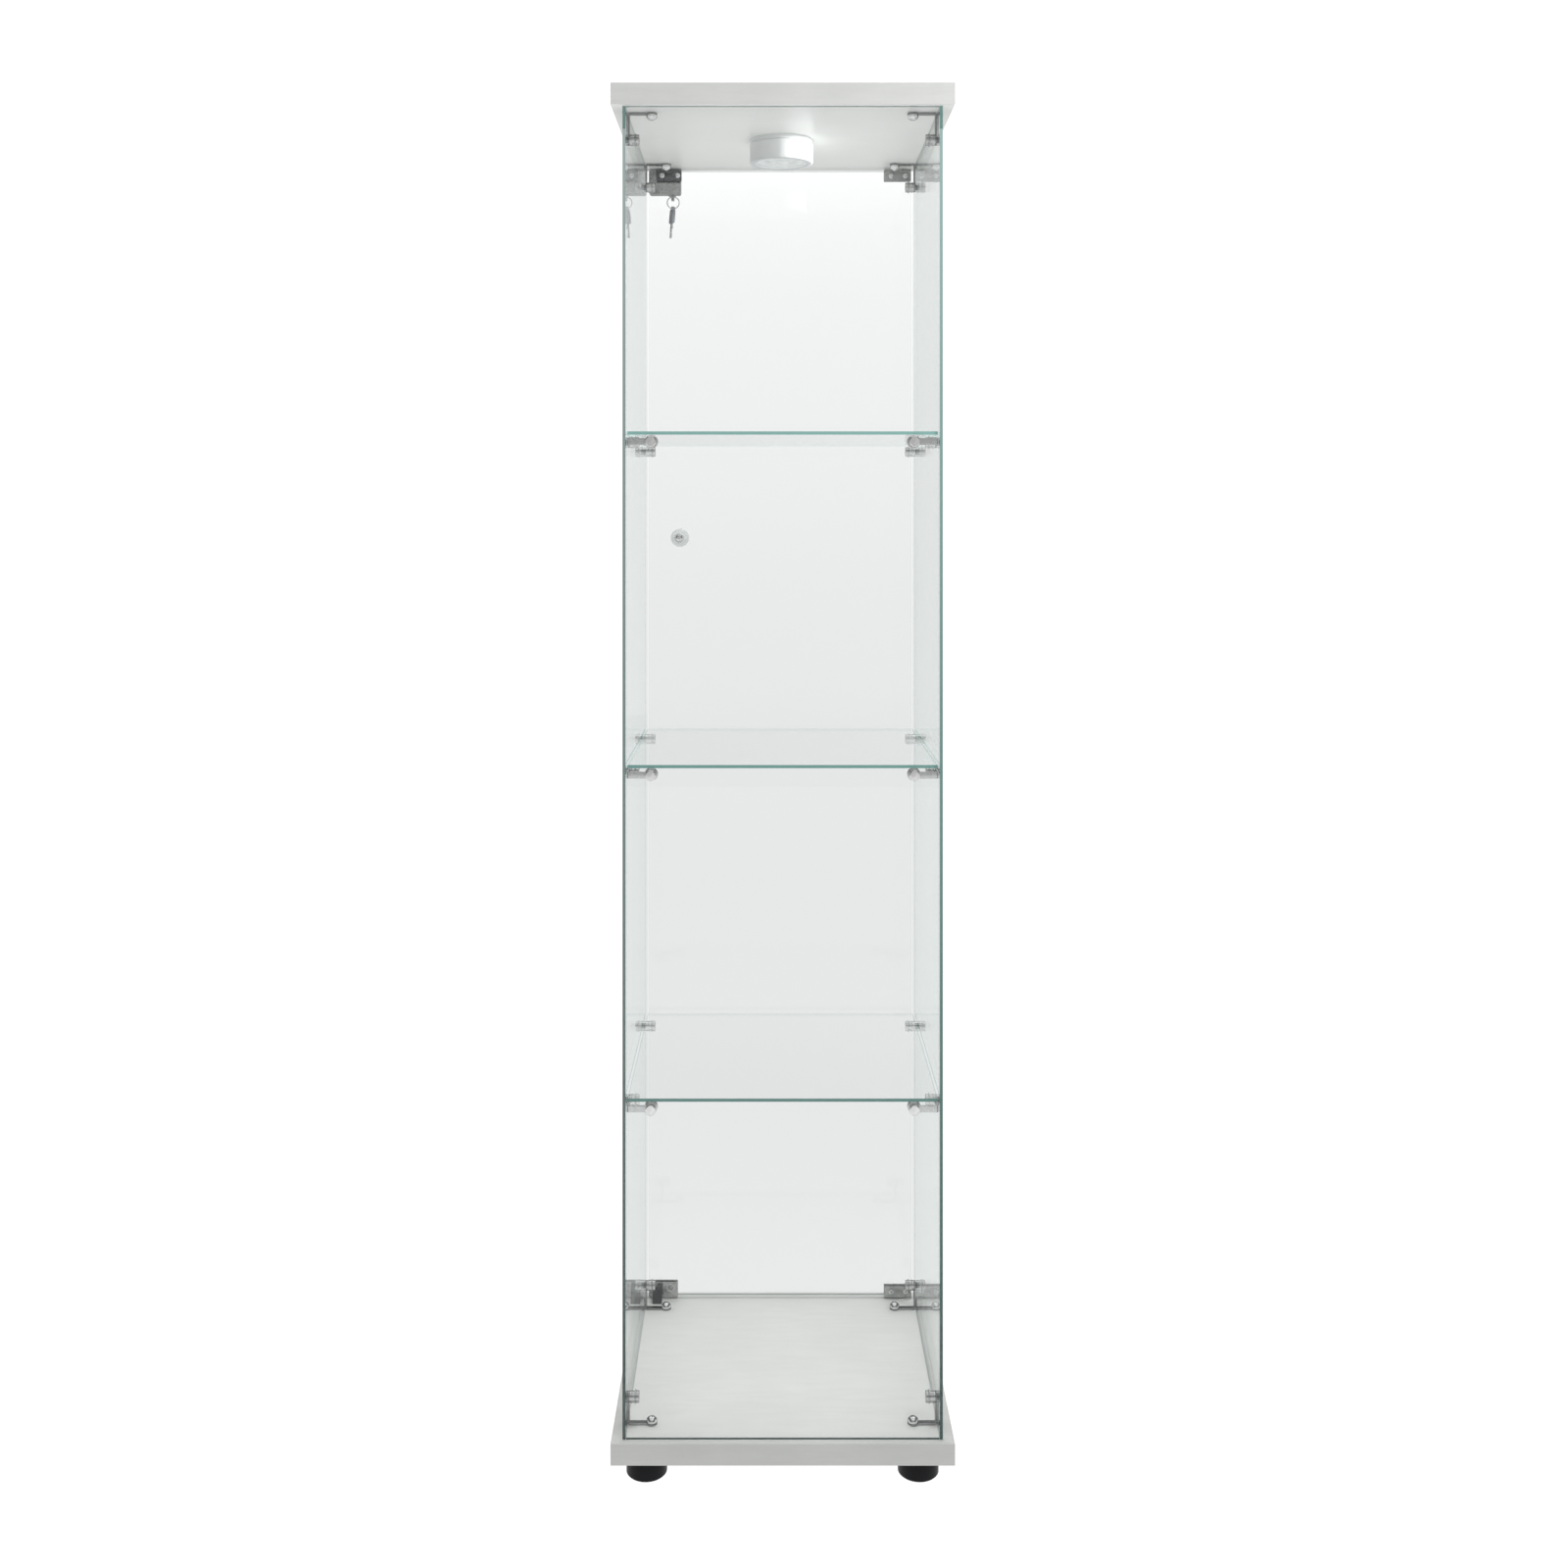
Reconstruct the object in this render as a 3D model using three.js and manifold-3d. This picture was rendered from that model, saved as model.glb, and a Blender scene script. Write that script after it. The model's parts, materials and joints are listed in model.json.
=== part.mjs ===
// Glass display case: laminated top and base boards, bolted glass walls, three loose
// glass shelves, a puck lamp, and an inset pivot door with a cylinder lock.
// Units are millimetres. +Z is up, +Y points to the door side, +X is to the right when
// the case is seen from the fixed pane. The pieces are laid out about the middle of the
// boards, and the whole is then set so that the origin is on the floor, under the middle
// of the overall outline.

import * as THREE from 'three';
import { mergeVertices } from 'three/addons/utils/BufferGeometryUtils.js';
import Module from 'manifold-3d';

// ---------------------------------------------------------------- driving dimensions
const BOARD = { width: 400, depth: 365, t: 25 };   // along X, Y, Z
const TOTAL_H = 1630;                 // floor to the top of the top board
const OUTLINE_Y = 19.8;               // middle of the overall outline, keys included
const FOOT = { r: 24, h: 25, x: 160, y: 151, chamfer: 1.6, rimH: 1.2, rimOut: 0.8 };
const BASE_TOP = FOOT.h + BOARD.t;    // upper face of the base board
const ROOF = TOTAL_H - BOARD.t;       // underside of the top board

const GLASS_T = 4;                    // every pane and shelf
const SIDE_X = 183;                   // inner face of each side pane
const NEAR_Y = -173.5;                // outer face of the fixed pane
const FAR_Y = 169.5;                  // far end of the side panes, outer face of the door
const NEAR_INNER_Y = NEAR_Y + GLASS_T;
const PANE_GAP = 0.3;                 // fixed pane to side pane

const SHELF = { halfW: 181.5, y0: -168.5, y1: 155 };
const SHELF_Z = { lower: 442, middle: 832, upper: 1222 };   // undersides
const SHELF_DROP = 8;                 // shelf support axis, below the shelf

const COLUMN_Y = { near: -140, door: 136 };   // columns of holes in the side panes
const BOARD_BOLT = 32;                // bracket bolt, from the board's face
const BOARD_SCREW = 28;               // bracket screw, from the side pane's inner face
const CORNER_X = 154;                 // corner bracket bolt in the fixed pane
const GLASS_HOLE_R = 3.7;

const DOOR = {
  halfW: 181,
  y0: FAR_Y - GLASS_T,                // inner face
  z0: BASE_TOP + 4,
  z1: ROOF - 4,
};
const METAL_GAP = 0.3;                // door glass to the metal fitted over it
const HEAD_ROOT = 1;                  // screw heads and striker end this far short of the glass side
const PIVOT = { x: 175, y: DOOR.y0 + GLASS_T / 2, r: 2.5 };

const OVERCUT = 1;                    // how far a cutting tool runs past a face

const SIDES = [['left', -1], ['right', 1]];   // name, sign of X
const SHELF_AXES = Object.entries(SHELF_Z).map(([level, z]) => [level, z - SHELF_DROP]);

// ---------------------------------------------------------------- solids
const wasm = await Module();
wasm.setup();

// Welds a closed geometry into a manifold, with its faces turned outwards.
function solid(geometry) {
  const bare = geometry.clone();
  for (const name of Object.keys(bare.attributes)) {
    if (name !== 'position') bare.deleteAttribute(name);
  }
  const welded = mergeVertices(bare, 1e-4);
  const positions = welded.attributes.position;
  const source = welded.index.array;
  const corners = [0, 1, 2].map(() => new THREE.Vector3());
  const triangles = [];
  let volume = 0;                     // six times the signed volume
  for (let i = 0; i < source.length; i += 3) {
    const [a, b, c] = source.slice(i, i + 3);
    if (a === b || b === c || c === a) continue;
    triangles.push(a, b, c);
    [a, b, c].forEach((vertex, k) => corners[k].fromBufferAttribute(positions, vertex));
    volume += corners[0].dot(corners[1].cross(corners[2]));
  }
  if (volume < 0) {
    for (let i = 0; i < triangles.length; i += 3) {
      [triangles[i + 1], triangles[i + 2]] = [triangles[i + 2], triangles[i + 1]];
    }
  }
  return new wasm.Manifold(new wasm.Mesh({
    numProp: 3,
    vertProperties: new Float32Array(positions.array),
    triVerts: new Uint32Array(triangles),
  }));
}

function geometryOf(manifold) {
  const mesh = manifold.getMesh();
  const geometry = new THREE.BufferGeometry();
  const positions = new Float32Array(mesh.vertProperties);
  geometry.setAttribute('position', new THREE.BufferAttribute(positions, 3));
  geometry.setIndex(new THREE.BufferAttribute(new Uint32Array(mesh.triVerts), 1));
  geometry.computeVertexNormals();
  return geometry;
}

const box = (x0, x1, y0, y1, z0, z1) => solid(
  new THREE.BoxGeometry(x1 - x0, y1 - y0, z1 - z0)
    .translate((x0 + x1) / 2, (y0 + y1) / 2, (z0 + z1) / 2));

// Solids of revolution about Y, Z and X. Each profile entry is [height, radius], with
// height running along the positive axis. A closed profile makes a ring.
function turnedY(profile, segments, close = false) {
  const points = profile.map(([height, radius]) => new THREE.Vector2(radius, height));
  if (close) points.push(points[0].clone());
  return new THREE.LatheGeometry(points, segments);
}
const turnedZ = (...profile) => turnedY(...profile).rotateX(Math.PI / 2);
const turnedX = (...profile) => turnedZ(...profile).rotateY(Math.PI / 2);

const rodProfile = (start, end, r) => [[start, 0], [start, r], [end, r], [end, 0]];
const rodX = (y, z, x0, x1, r, segments) =>
  solid(turnedX(rodProfile(x0, x1, r), segments).translate(0, y, z));
const rodY = (x, z, y0, y1, r, segments) =>
  solid(turnedY(rodProfile(y0, y1, r), segments).translate(x, 0, z));
const rodZ = (x, y, z0, z1, r, segments) =>
  solid(turnedZ(rodProfile(z0, z1, r), segments).translate(x, y, 0));

const toPoints = (pairs) => pairs.map(([x, y]) => new THREE.Vector2(x, y));
const shapeOf = (pairs) => new THREE.Shape(toPoints(pairs));
const extrude = (shape, depth) =>
  new THREE.ExtrudeGeometry(shape, { depth, bevelEnabled: false });

// A round hole centred on the shape's first axis.
function punch(shape, centre, r, sides) {
  const points = [];
  for (let i = 0; i < sides; i++) {
    const angle = -(i / sides) * 2 * Math.PI;
    points.push([centre + r * Math.cos(angle), r * Math.sin(angle)]);
  }
  const hole = new THREE.Path(toPoints(points));
  hole.closePath();
  shape.holes.push(hole);
}

const joinAll = (list) => list.reduce((a, b) => a.add(b));
const cutAll = (body, list) => list.reduce((a, b) => a.subtract(b), body);

// ---------------------------------------------------------------- finishes
const FINISH = {
  laminate: { color: 0xe6e7e4, roughness: 0.42, metalness: 0 },
  glass: { color: 0xd6e6e2, roughness: 0.05, metalness: 0, transparent: true, opacity: 0.3 },
  nickel: { color: 0xb4b5b4, roughness: 0.24, metalness: 1 },
  brushed: { color: 0x9a9c9a, roughness: 0.38, metalness: 1 },
  black: { color: 0x17181a, roughness: 0.55, metalness: 0 },
  white: { color: 0xeff0ee, roughness: 0.4, metalness: 0 },
  lens: { color: 0xe9ebea, roughness: 0.3, metalness: 0 },
  circuitBoard: { color: 0xf2f2ec, roughness: 0.5, metalness: 0 },
  keyGrey: { color: 0x8e9296, roughness: 0.45, metalness: 0 },
  polymer: { color: 0xd9d9d6, roughness: 0.5, metalness: 0 },
  acrylic: { color: 0xdce1df, roughness: 0.2, metalness: 0 },
};

const displayCase = new THREE.Group();
displayCase.name = 'display_case';

function piece(name, manifold, finish, parent = displayCase) {
  const mesh = new THREE.Mesh(geometryOf(manifold), new THREE.MeshStandardMaterial(finish));
  mesh.name = name;
  parent.add(mesh);
  return mesh;
}

function groupAt(x, y, z) {
  const group = new THREE.Group();
  group.position.set(x, y, z);
  displayCase.add(group);
  return group;
}

// ---------------------------------------------------------------- boards and feet
const PILOT = { x: SIDE_X - BOARD_SCREW, r: 2.7, depth: 13 };
// Pivot bush, and the hole for it in the board.
const BUSH = { bore: 2.62, r: 5, sleeve: 12, flange: 7, flangeT: 1.3, holeR: 5.6, holeDepth: 13 };
const LOCK_BOLT = { x: -150, halfW: 5, y0: 172.5, y1: 178, z0: 1589, z1: 1602.5, throw: 8 };

// The space round the lock bolt, from z0 to z1.
function boltSlot(clearance, z0, z1) {
  const { x, halfW, y0, y1 } = LOCK_BOLT;
  const reach = halfW + clearance;
  return box(x - reach, x + reach, y0 - clearance, y1 + clearance, z0, z1);
}

// Pilot holes and bush hole. `face` is the board's face inside the case; `into` is the
// sign of Z going into the board.
function boardHoles(face, into) {
  const span = (depth) => [face - into * OVERCUT, face + into * depth].sort((a, b) => a - b);
  const holes = [];
  for (const [, sx] of SIDES) {
    for (const y of Object.values(COLUMN_Y)) {
      holes.push(rodZ(sx * PILOT.x, y, ...span(PILOT.depth), PILOT.r, 12));
    }
  }
  holes.push(rodZ(PIVOT.x, PIVOT.y, ...span(BUSH.holeDepth), BUSH.holeR, 16));
  return holes;
}

function addBoards() {
  const board = (z0) => box(-BOARD.width / 2, BOARD.width / 2,
    -BOARD.depth / 2, BOARD.depth / 2, z0, z0 + BOARD.t);
  const keeper = boltSlot(0.6, ROOF - OVERCUT, ROOF + LOCK_BOLT.throw + 1);
  piece('top_board', cutAll(board(ROOF), [...boardHoles(ROOF, 1), keeper]), FINISH.laminate);
  piece('base_board', cutAll(board(FOOT.h), boardHoles(BASE_TOP, -1)), FINISH.laminate);
}

function addFeet() {
  const rimZ = FOOT.h - FOOT.rimH;
  const rimR = FOOT.r + FOOT.rimOut;
  const body = solid(turnedZ([
    [0, 0], [0, FOOT.r - FOOT.chamfer], [FOOT.chamfer, FOOT.r], [rimZ, FOOT.r],
    [rimZ, rimR], [FOOT.h, rimR], [FOOT.h, 0],
  ], 20));
  for (const [side, sx] of SIDES) {
    for (const [end, sy] of [['near', -1], ['door', 1]]) {
      const foot = piece(`foot_${end}_${side}`, body, FINISH.black);
      foot.position.set(sx * FOOT.x, sy * FOOT.y, 0);
    }
  }
}

// ---------------------------------------------------------------- glass walls and shelves
// A side pane, with x = 0 on its left face.
function sidePane() {
  const columnZ = [BASE_TOP + BOARD_BOLT, ...SHELF_AXES.map(([, z]) => z), ROOF - BOARD_BOLT];
  const holes = Object.values(COLUMN_Y).flatMap((y) => columnZ.map(
    (z) => rodX(y, z, -OVERCUT, GLASS_T + OVERCUT, GLASS_HOLE_R, 10)));
  return cutAll(box(0, GLASS_T, NEAR_Y, FAR_Y, BASE_TOP, ROOF), holes);
}

function fixedPane() {
  const halfW = SIDE_X - PANE_GAP;
  const holes = SIDES.flatMap(([, sx]) => SHELF_AXES.map(([, z]) => rodY(
    sx * CORNER_X, z, NEAR_Y - OVERCUT, NEAR_INNER_Y + OVERCUT, GLASS_HOLE_R, 10)));
  return cutAll(box(-halfW, halfW, NEAR_Y, NEAR_INNER_Y, BASE_TOP, ROOF), holes);
}

function addGlass() {
  piece('side_glass_left', sidePane(), FINISH.glass).position.x = -SIDE_X - GLASS_T;
  piece('side_glass_right', sidePane(), FINISH.glass).position.x = SIDE_X;
  piece('fixed_glass', fixedPane(), FINISH.glass);
  for (const [level, z] of Object.entries(SHELF_Z)) {
    const body = box(-SHELF.halfW, SHELF.halfW, SHELF.y0, SHELF.y1, 0, GLASS_T);
    piece(`shelf_${level}`, body, FINISH.glass).position.z = z;
  }
}

// ---------------------------------------------------------------- glass fittings
const STRAP = { t: 2, halfW: 4, eyeR: 6.5 };
// Radii, and the distances from the pane's inner face at which sleeve, ring and cap end.
const BOLT = {
  r: 3, headR: 6.3, headT: 1.8, sleeveR: 6.5, sleeveEnd: 8.3, ringR: 7.95, ringEnd: 9.5,
  capEnd: 13.3,
};
const SCREW = { r: 2, headR: 6.6, headH: 7 };   // round-headed board screw
const CORNER = { x: SIDE_X - CORNER_X, y: COLUMN_Y.near - NEAR_INNER_Y };   // strap lengths

// Bolt along +X. x = 0 is the inner face of the pane; a low head sits on the outer face.
// `seat` is where the sleeve starts.
function glassBolt(seat) {
  return turnedX([
    [-GLASS_T - BOLT.headT, 0], [-GLASS_T - BOLT.headT, BOLT.headR],
    [-GLASS_T, BOLT.headR], [-GLASS_T, BOLT.r],
    [seat, BOLT.r], [seat, BOLT.sleeveR],
    [BOLT.sleeveEnd, BOLT.sleeveR], [BOLT.sleeveEnd, BOLT.ringR],
    [BOLT.ringEnd, BOLT.ringR], [BOLT.ringEnd, BOLT.sleeveR],
    [BOLT.capEnd, BOLT.sleeveR], [BOLT.capEnd, 0],
  ], 10);
}

// A strap from the corner to an eye, running along +X and rising from z = 0.
function strap(length, holeR = 0) {
  const { t, halfW, eyeR } = STRAP;
  const neck = Math.asin(halfW / eyeR);   // half the angle the strap takes from the eye
  const neckX = length - eyeR * Math.cos(neck);
  const outline = [[0, -halfW], [neckX, -halfW]];
  const steps = 8;
  for (let i = 1; i < steps; i++) {
    const angle = -Math.PI + neck + (i / steps) * (2 * Math.PI - 2 * neck);
    outline.push([length + eyeR * Math.cos(angle), eyeR * Math.sin(angle)]);
  }
  outline.push([neckX, halfW], [0, halfW]);
  const shape = shapeOf(outline);
  if (holeR) punch(shape, length, holeR, 10);
  return extrude(shape, t);
}

// The board's face is z = 0, the pane's inner face is x = 0, the strap is centred on y = 0.
function boardBracket() {
  const { t } = STRAP;
  const { r, headR, headH } = SCREW;
  const screwEnd = -PILOT.depth + 1;
  const foot = solid(strap(BOARD_SCREW));
  const leg = solid(strap(BOARD_BOLT, BOLT.r + 0.5).rotateY(-Math.PI / 2).translate(t, 0, 0));
  const screw = solid(turnedZ([
    [screwEnd, 0], [screwEnd, r], [t / 2, r], [t / 2, headR - 0.6], [t + 0.6, headR - 0.3],
    [t + 2, headR], [t + 4, headR - 0.8], [t + 6, headR * 0.5], [t + headH, 0],
  ], 12).translate(BOARD_SCREW, 0, 0));
  return joinAll([foot, leg, screw]);
}

// The fixed pane's inner face is y = 0, the side pane's inner face is x = 0. The bolts
// start inside the straps, so that all of it joins into one body.
function cornerBracket() {
  const { t } = STRAP;
  return joinAll([
    solid(strap(CORNER.x).rotateX(Math.PI / 2).translate(0, t, 0)),
    solid(strap(CORNER.y).rotateX(Math.PI / 2).rotateZ(Math.PI / 2)),
    solid(glassBolt(t / 2).translate(0, CORNER.y, 0)),
    solid(glassBolt(t / 2).rotateZ(Math.PI / 2).translate(CORNER.x, 0, 0)),
  ]);
}

function addBoardBrackets(side, sx, bracket, bolt) {
  for (const [level, z, up] of [['top', ROOF, -1], ['bottom', BASE_TOP, 1]]) {
    for (const [end, y] of Object.entries(COLUMN_Y)) {
      const corner = groupAt(sx * SIDE_X, y, z);
      // turned so that x runs into the case and z runs away from the board
      if (sx < 0 && up < 0) corner.rotation.x = Math.PI;
      if (sx > 0 && up > 0) corner.rotation.z = Math.PI;
      if (sx > 0 && up < 0) corner.rotation.y = Math.PI;
      const place = `${level}_${end}_${side}`;
      piece(`bracket_${place}`, bracket, FINISH.nickel, corner);
      piece(`glass_bolt_${place}`, bolt, FINISH.nickel, corner).position.z = BOARD_BOLT;
    }
  }
}

function addShelfSupports(side, sx, bracket, pinBody) {
  for (const [level, z] of SHELF_AXES) {
    const corner = groupAt(sx * SIDE_X, NEAR_INNER_Y, z);
    if (sx > 0) corner.rotation.y = Math.PI;
    piece(`corner_bracket_${level}_${side}`, bracket, FINISH.nickel, corner);

    const pin = piece(`shelf_pin_${level}_${side}`, pinBody, FINISH.nickel);
    pin.position.set(sx * SIDE_X, COLUMN_Y.door, z);
    if (sx > 0) pin.rotation.z = Math.PI;
  }
}

function addGlassFittings() {
  const board = boardBracket();
  const corner = cornerBracket();
  const bolt = solid(glassBolt(STRAP.t));
  const pin = solid(glassBolt(0));
  for (const [side, sx] of SIDES) {
    addBoardBrackets(side, sx, board, bolt);
    addShelfSupports(side, sx, corner, pin);
  }
}

// ---------------------------------------------------------------- lamp
const LAMP = {
  r: 40, h: 30, wall: 2.4, chamfer: 1.5,
  mouthR: 33.2, lipT: 1.6,            // opening in the underside and the lip round it
  plateT: 5.6, plateInset: 0.5, plateGap: 0.4,
  innerR: 36.8,                       // LED board and lens flange
  ledZ: 10, ledT: 1.6,                // heights from the lamp's underside
  lensR: 32.8, lensZ: 0.4, flangeZ: 1.9, lensTop: 3.9,
};

function addLamp() {
  const bottom = ROOF - LAMP.h;
  const lipTop = bottom + LAMP.lipT;
  const housingTop = ROOF - LAMP.plateT - LAMP.plateGap;
  const boreR = LAMP.r - LAMP.wall;
  const ledZ = bottom + LAMP.ledZ;
  piece('lamp_mount_plate',
    rodZ(0, 0, ROOF - LAMP.plateT, ROOF, LAMP.r - LAMP.plateInset, 28), FINISH.white);
  piece('lamp_housing', solid(turnedZ([
    [bottom, LAMP.mouthR], [bottom, LAMP.r - LAMP.chamfer], [bottom + LAMP.chamfer, LAMP.r],
    [housingTop, LAMP.r], [housingTop, boreR], [lipTop, boreR], [lipTop, LAMP.mouthR],
  ], 28, true)), FINISH.white);
  piece('lamp_led_board',
    rodZ(0, 0, ledZ, ledZ + LAMP.ledT, LAMP.innerR, 24), FINISH.circuitBoard);
  piece('lamp_lens', solid(turnedZ([
    [bottom + LAMP.lensZ, 0], [bottom + LAMP.lensZ, LAMP.lensR],
    [bottom + LAMP.flangeZ, LAMP.lensR], [bottom + LAMP.flangeZ, LAMP.innerR],
    [bottom + LAMP.lensTop, LAMP.innerR], [bottom + LAMP.lensTop, 0],
  ], 28)), FINISH.lens);
}

// ---------------------------------------------------------------- door
const CLAMP = {
  x0: 143, x1: 180, leg: 2.3, web: 2, tall: 15.4,
  pinRoot: 0.5, pinOut: 12.2,         // pin start inside the web, pin end beyond it
  screwX: [152.5, 172], screwR: 3.4, screwProud: 1.2,
};
const KNOB = { x: -139, z: 1096.6, r: 12.5, bore: 2.4, boreDepth: 13 };
const KNOB_SCREW = { r: 2, reach: 11.5 };   // reach is from the door's outer face
const CLIP = { x0: -181, x1: -141, t: 1.6, bottomT: 2, top: 73 };
const STRIKER = { x: -151.5, z: 65.6, r: 5.4, proud: 0.9 };

function addDoorGlass() {
  const pane = box(-DOOR.halfW, DOOR.halfW, DOOR.y0, FAR_Y, DOOR.z0, DOOR.z1);
  const hole = rodY(KNOB.x, KNOB.z, DOOR.y0 - OVERCUT, FAR_Y + OVERCUT, GLASS_HOLE_R, 16);
  piece('door_glass', pane.subtract(hole), FINISH.glass);
}

// U-shaped hinge clamp over the door's edge; its pivot pin points away from the door.
function hingeClamp(edgeZ, out) {
  const { x0, x1, leg, web, screwR } = CLAMP;
  const span = (a, b) => [Math.min(a, b), Math.max(a, b)];
  const webIn = edgeZ + out * METAL_GAP;
  const webOut = webIn + out * web;
  const tip = webOut - out * CLAMP.tall;
  const yIn = DOOR.y0 - METAL_GAP;
  const yOut = FAR_Y + METAL_GAP;
  const pin = span(webIn + out * CLAMP.pinRoot, webOut + out * CLAMP.pinOut);
  const headY = yIn - leg - CLAMP.screwProud;
  return joinAll([
    box(x0, x1, yIn - leg, yIn, ...span(tip, webOut)),
    box(x0, x1, yOut, yOut + leg, ...span(tip, webOut)),
    box(x0, x1, yIn - leg, yOut + leg, ...span(webIn, webOut)),
    rodZ(PIVOT.x, PIVOT.y, ...pin, PIVOT.r, 16),
    ...CLAMP.screwX.map((x) => rodY(x, (edgeZ + tip) / 2, headY, yIn - HEAD_ROOT, screwR, 12)),
  ]);
}

// Flanged bush pressed into the board; the pivot pin turns in it.
function pivotBush(boardZ, into) {
  const flangeEnd = boardZ - into * BUSH.flangeT;
  const sleeveEnd = boardZ + into * BUSH.sleeve;
  return solid(turnedZ([
    [flangeEnd, BUSH.bore], [flangeEnd, BUSH.flange], [boardZ, BUSH.flange],
    [boardZ, BUSH.r], [sleeveEnd, BUSH.r], [sleeveEnd, BUSH.bore],
  ], 16, true).translate(PIVOT.x, PIVOT.y, 0));
}

function addHinges() {
  piece('hinge_clamp_upper', hingeClamp(DOOR.z1, 1), FINISH.brushed);
  piece('hinge_clamp_lower', hingeClamp(DOOR.z0, -1), FINISH.brushed);
  piece('pivot_bush_upper', pivotBush(ROOF, 1), FINISH.polymer);
  piece('pivot_bush_lower', pivotBush(BASE_TOP, -1), FINISH.polymer);
}

// Knob on the outside, screw from the inside.
function addKnob() {
  const { x, z, r } = KNOB;
  // heights are from the door's outer face
  const knob = solid(turnedY([
    [0, 0], [0, 6.5], [7.5, 5.5], [10.5, r - 1], [12.5, r], [18, r], [20, r - 2], [20.8, 0],
  ], 18).translate(x, FAR_Y, z));
  const bore = rodY(x, z, FAR_Y - OVERCUT, FAR_Y + KNOB.boreDepth, KNOB.bore, 12);
  piece('door_knob', knob.subtract(bore), FINISH.acrylic);

  // heights are from the door's inner face
  const screwEnd = GLASS_T + KNOB_SCREW.reach;
  piece('knob_screw', solid(turnedY([
    [-2.6, 0], [-2.2, 3.4], [-0.9, 4.4], [-0.9, 5.4], [0, 5.4],
    [0, KNOB_SCREW.r], [screwEnd, KNOB_SCREW.r], [screwEnd, 0],
  ], 12).translate(x, DOOR.y0, z)), FINISH.nickel);
}

// Clip over the lower corner of the door, with a round striker, and the block it meets.
function addCatch() {
  const { x0, x1, t, top } = CLIP;
  const yIn = DOOR.y0 - METAL_GAP;
  const yOut = FAR_Y + METAL_GAP;
  const clipTop = DOOR.z0 - METAL_GAP;
  const bottom = clipTop - CLIP.bottomT;
  piece('catch_plate', joinAll([
    box(x0, x1, yIn - t, yIn, bottom, top),
    box(x0, x1, yOut, yOut + t, bottom, top),
    box(x0, x1, yIn - t, yOut + t, bottom, clipTop),
    rodY(STRIKER.x, STRIKER.z, yIn - t - STRIKER.proud, DOOR.y0 - HEAD_ROOT, STRIKER.r, 16),
  ]), FINISH.brushed);

  const block = { x0: -174.5, x1: -162, y0: 149, y1: 163, top: 66 };
  const step = { x0: -169, y0: 151, z0: block.top - 1, top: 71 };   // raised part of the block
  piece('catch_block', joinAll([
    box(block.x0, block.x1, block.y0, block.y1, BASE_TOP, block.top),
    box(step.x0, block.x1, step.y0, block.y1, step.z0, step.top),
  ]), FINISH.black);
}

// ---------------------------------------------------------------- lock
const LOCK = { x0: -181, x1: -137, y1: 186, z0: 1571.3, z1: 1603, r: 3, chamfer: 0.5 };
const PLATE = {
  x0: -170.6, x1: -135.6, z0: 1587.6, t: 2.3,
  screwX: [-162.4, -140.8], screwZ: 1595, screwR: 3.2, screwProud: 1.1,
};
const CYLINDER = {
  x: LOCK_BOLT.x, z: 1577.3, r: 5.5, y1: 193,
  collar: 2, collarGap: 0.4, chamfer: 0.8,   // collar is how far it stands out from r
};
// Keys: y is measured as the door key stands in the lock.
const BLADE = { tip: 173.2, half: 3.3, t: 2 };
const BOW = { y0: 195, y1: 218.5, half: 9, t: 3.6, arch: 12, chamfer: 1.5, holeY: 213, holeR: 3.5 };
const RING = { R: 8.4, r: 0.7, z: 1567.2 };
const SPARE = { lean: 4, yaw: 19, ringGap: 0.45 };   // degrees, degrees, mm

// The lock case in X-Z: round lower corners, small chamfers on the upper ones.
function lockOutline() {
  const { x0, x1, z0, z1, r, chamfer } = LOCK;
  const arc = (x, z, start) => [0, 1, 2, 3, 4].map((i) => {
    const angle = start + (i / 4) * Math.PI / 2;
    return [x + r * Math.cos(angle), z + r * Math.sin(angle)];
  });
  return shapeOf([
    [x0 + r, z0], ...arc(x1 - r, z0 + r, -Math.PI / 2),
    [x1, z1 - chamfer], [x1 - chamfer, z1],
    [x0 + chamfer, z1], [x0, z1 - chamfer],
    ...arc(x0 + r, z0 + r, Math.PI),
  ]);
}

function addLockCase() {
  const body = solid(extrude(lockOutline(), LOCK.y1 - FAR_Y)
    .rotateX(Math.PI / 2).translate(0, LOCK.y1, 0));
  piece('lock_case', cutAll(body, [
    rodY(CYLINDER.x, CYLINDER.z, FAR_Y + 1.8, LOCK.y1 + OVERCUT, CYLINDER.r + 0.4, 20),
    boltSlot(0.3, LOCK_BOLT.z0 - 0.4, LOCK.z1 + OVERCUT),
  ]), FINISH.brushed);
}

// Plate on the inner face of the door, with a tongue over the door's upper edge.
function addLockPlate() {
  const { x0, x1, z0, t, screwX, screwZ, screwR, screwProud } = PLATE;
  const yIn = DOOR.y0 - METAL_GAP;
  piece('lock_clamp_plate', joinAll([
    box(x0, x1, yIn - t, yIn, z0, LOCK.z1),
    box(x0, LOCK.x1, yIn - t, FAR_Y, DOOR.z1 + METAL_GAP, LOCK.z1),
    ...screwX.map((x) => rodY(
      x, screwZ, yIn - t - screwProud, DOOR.y0 - HEAD_ROOT, screwR, 12)),
  ]), FINISH.brushed);
}

function addLockBolt() {
  piece('lock_bolt', boltSlot(0, LOCK_BOLT.z0, LOCK_BOLT.z1), FINISH.nickel);
}

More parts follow.
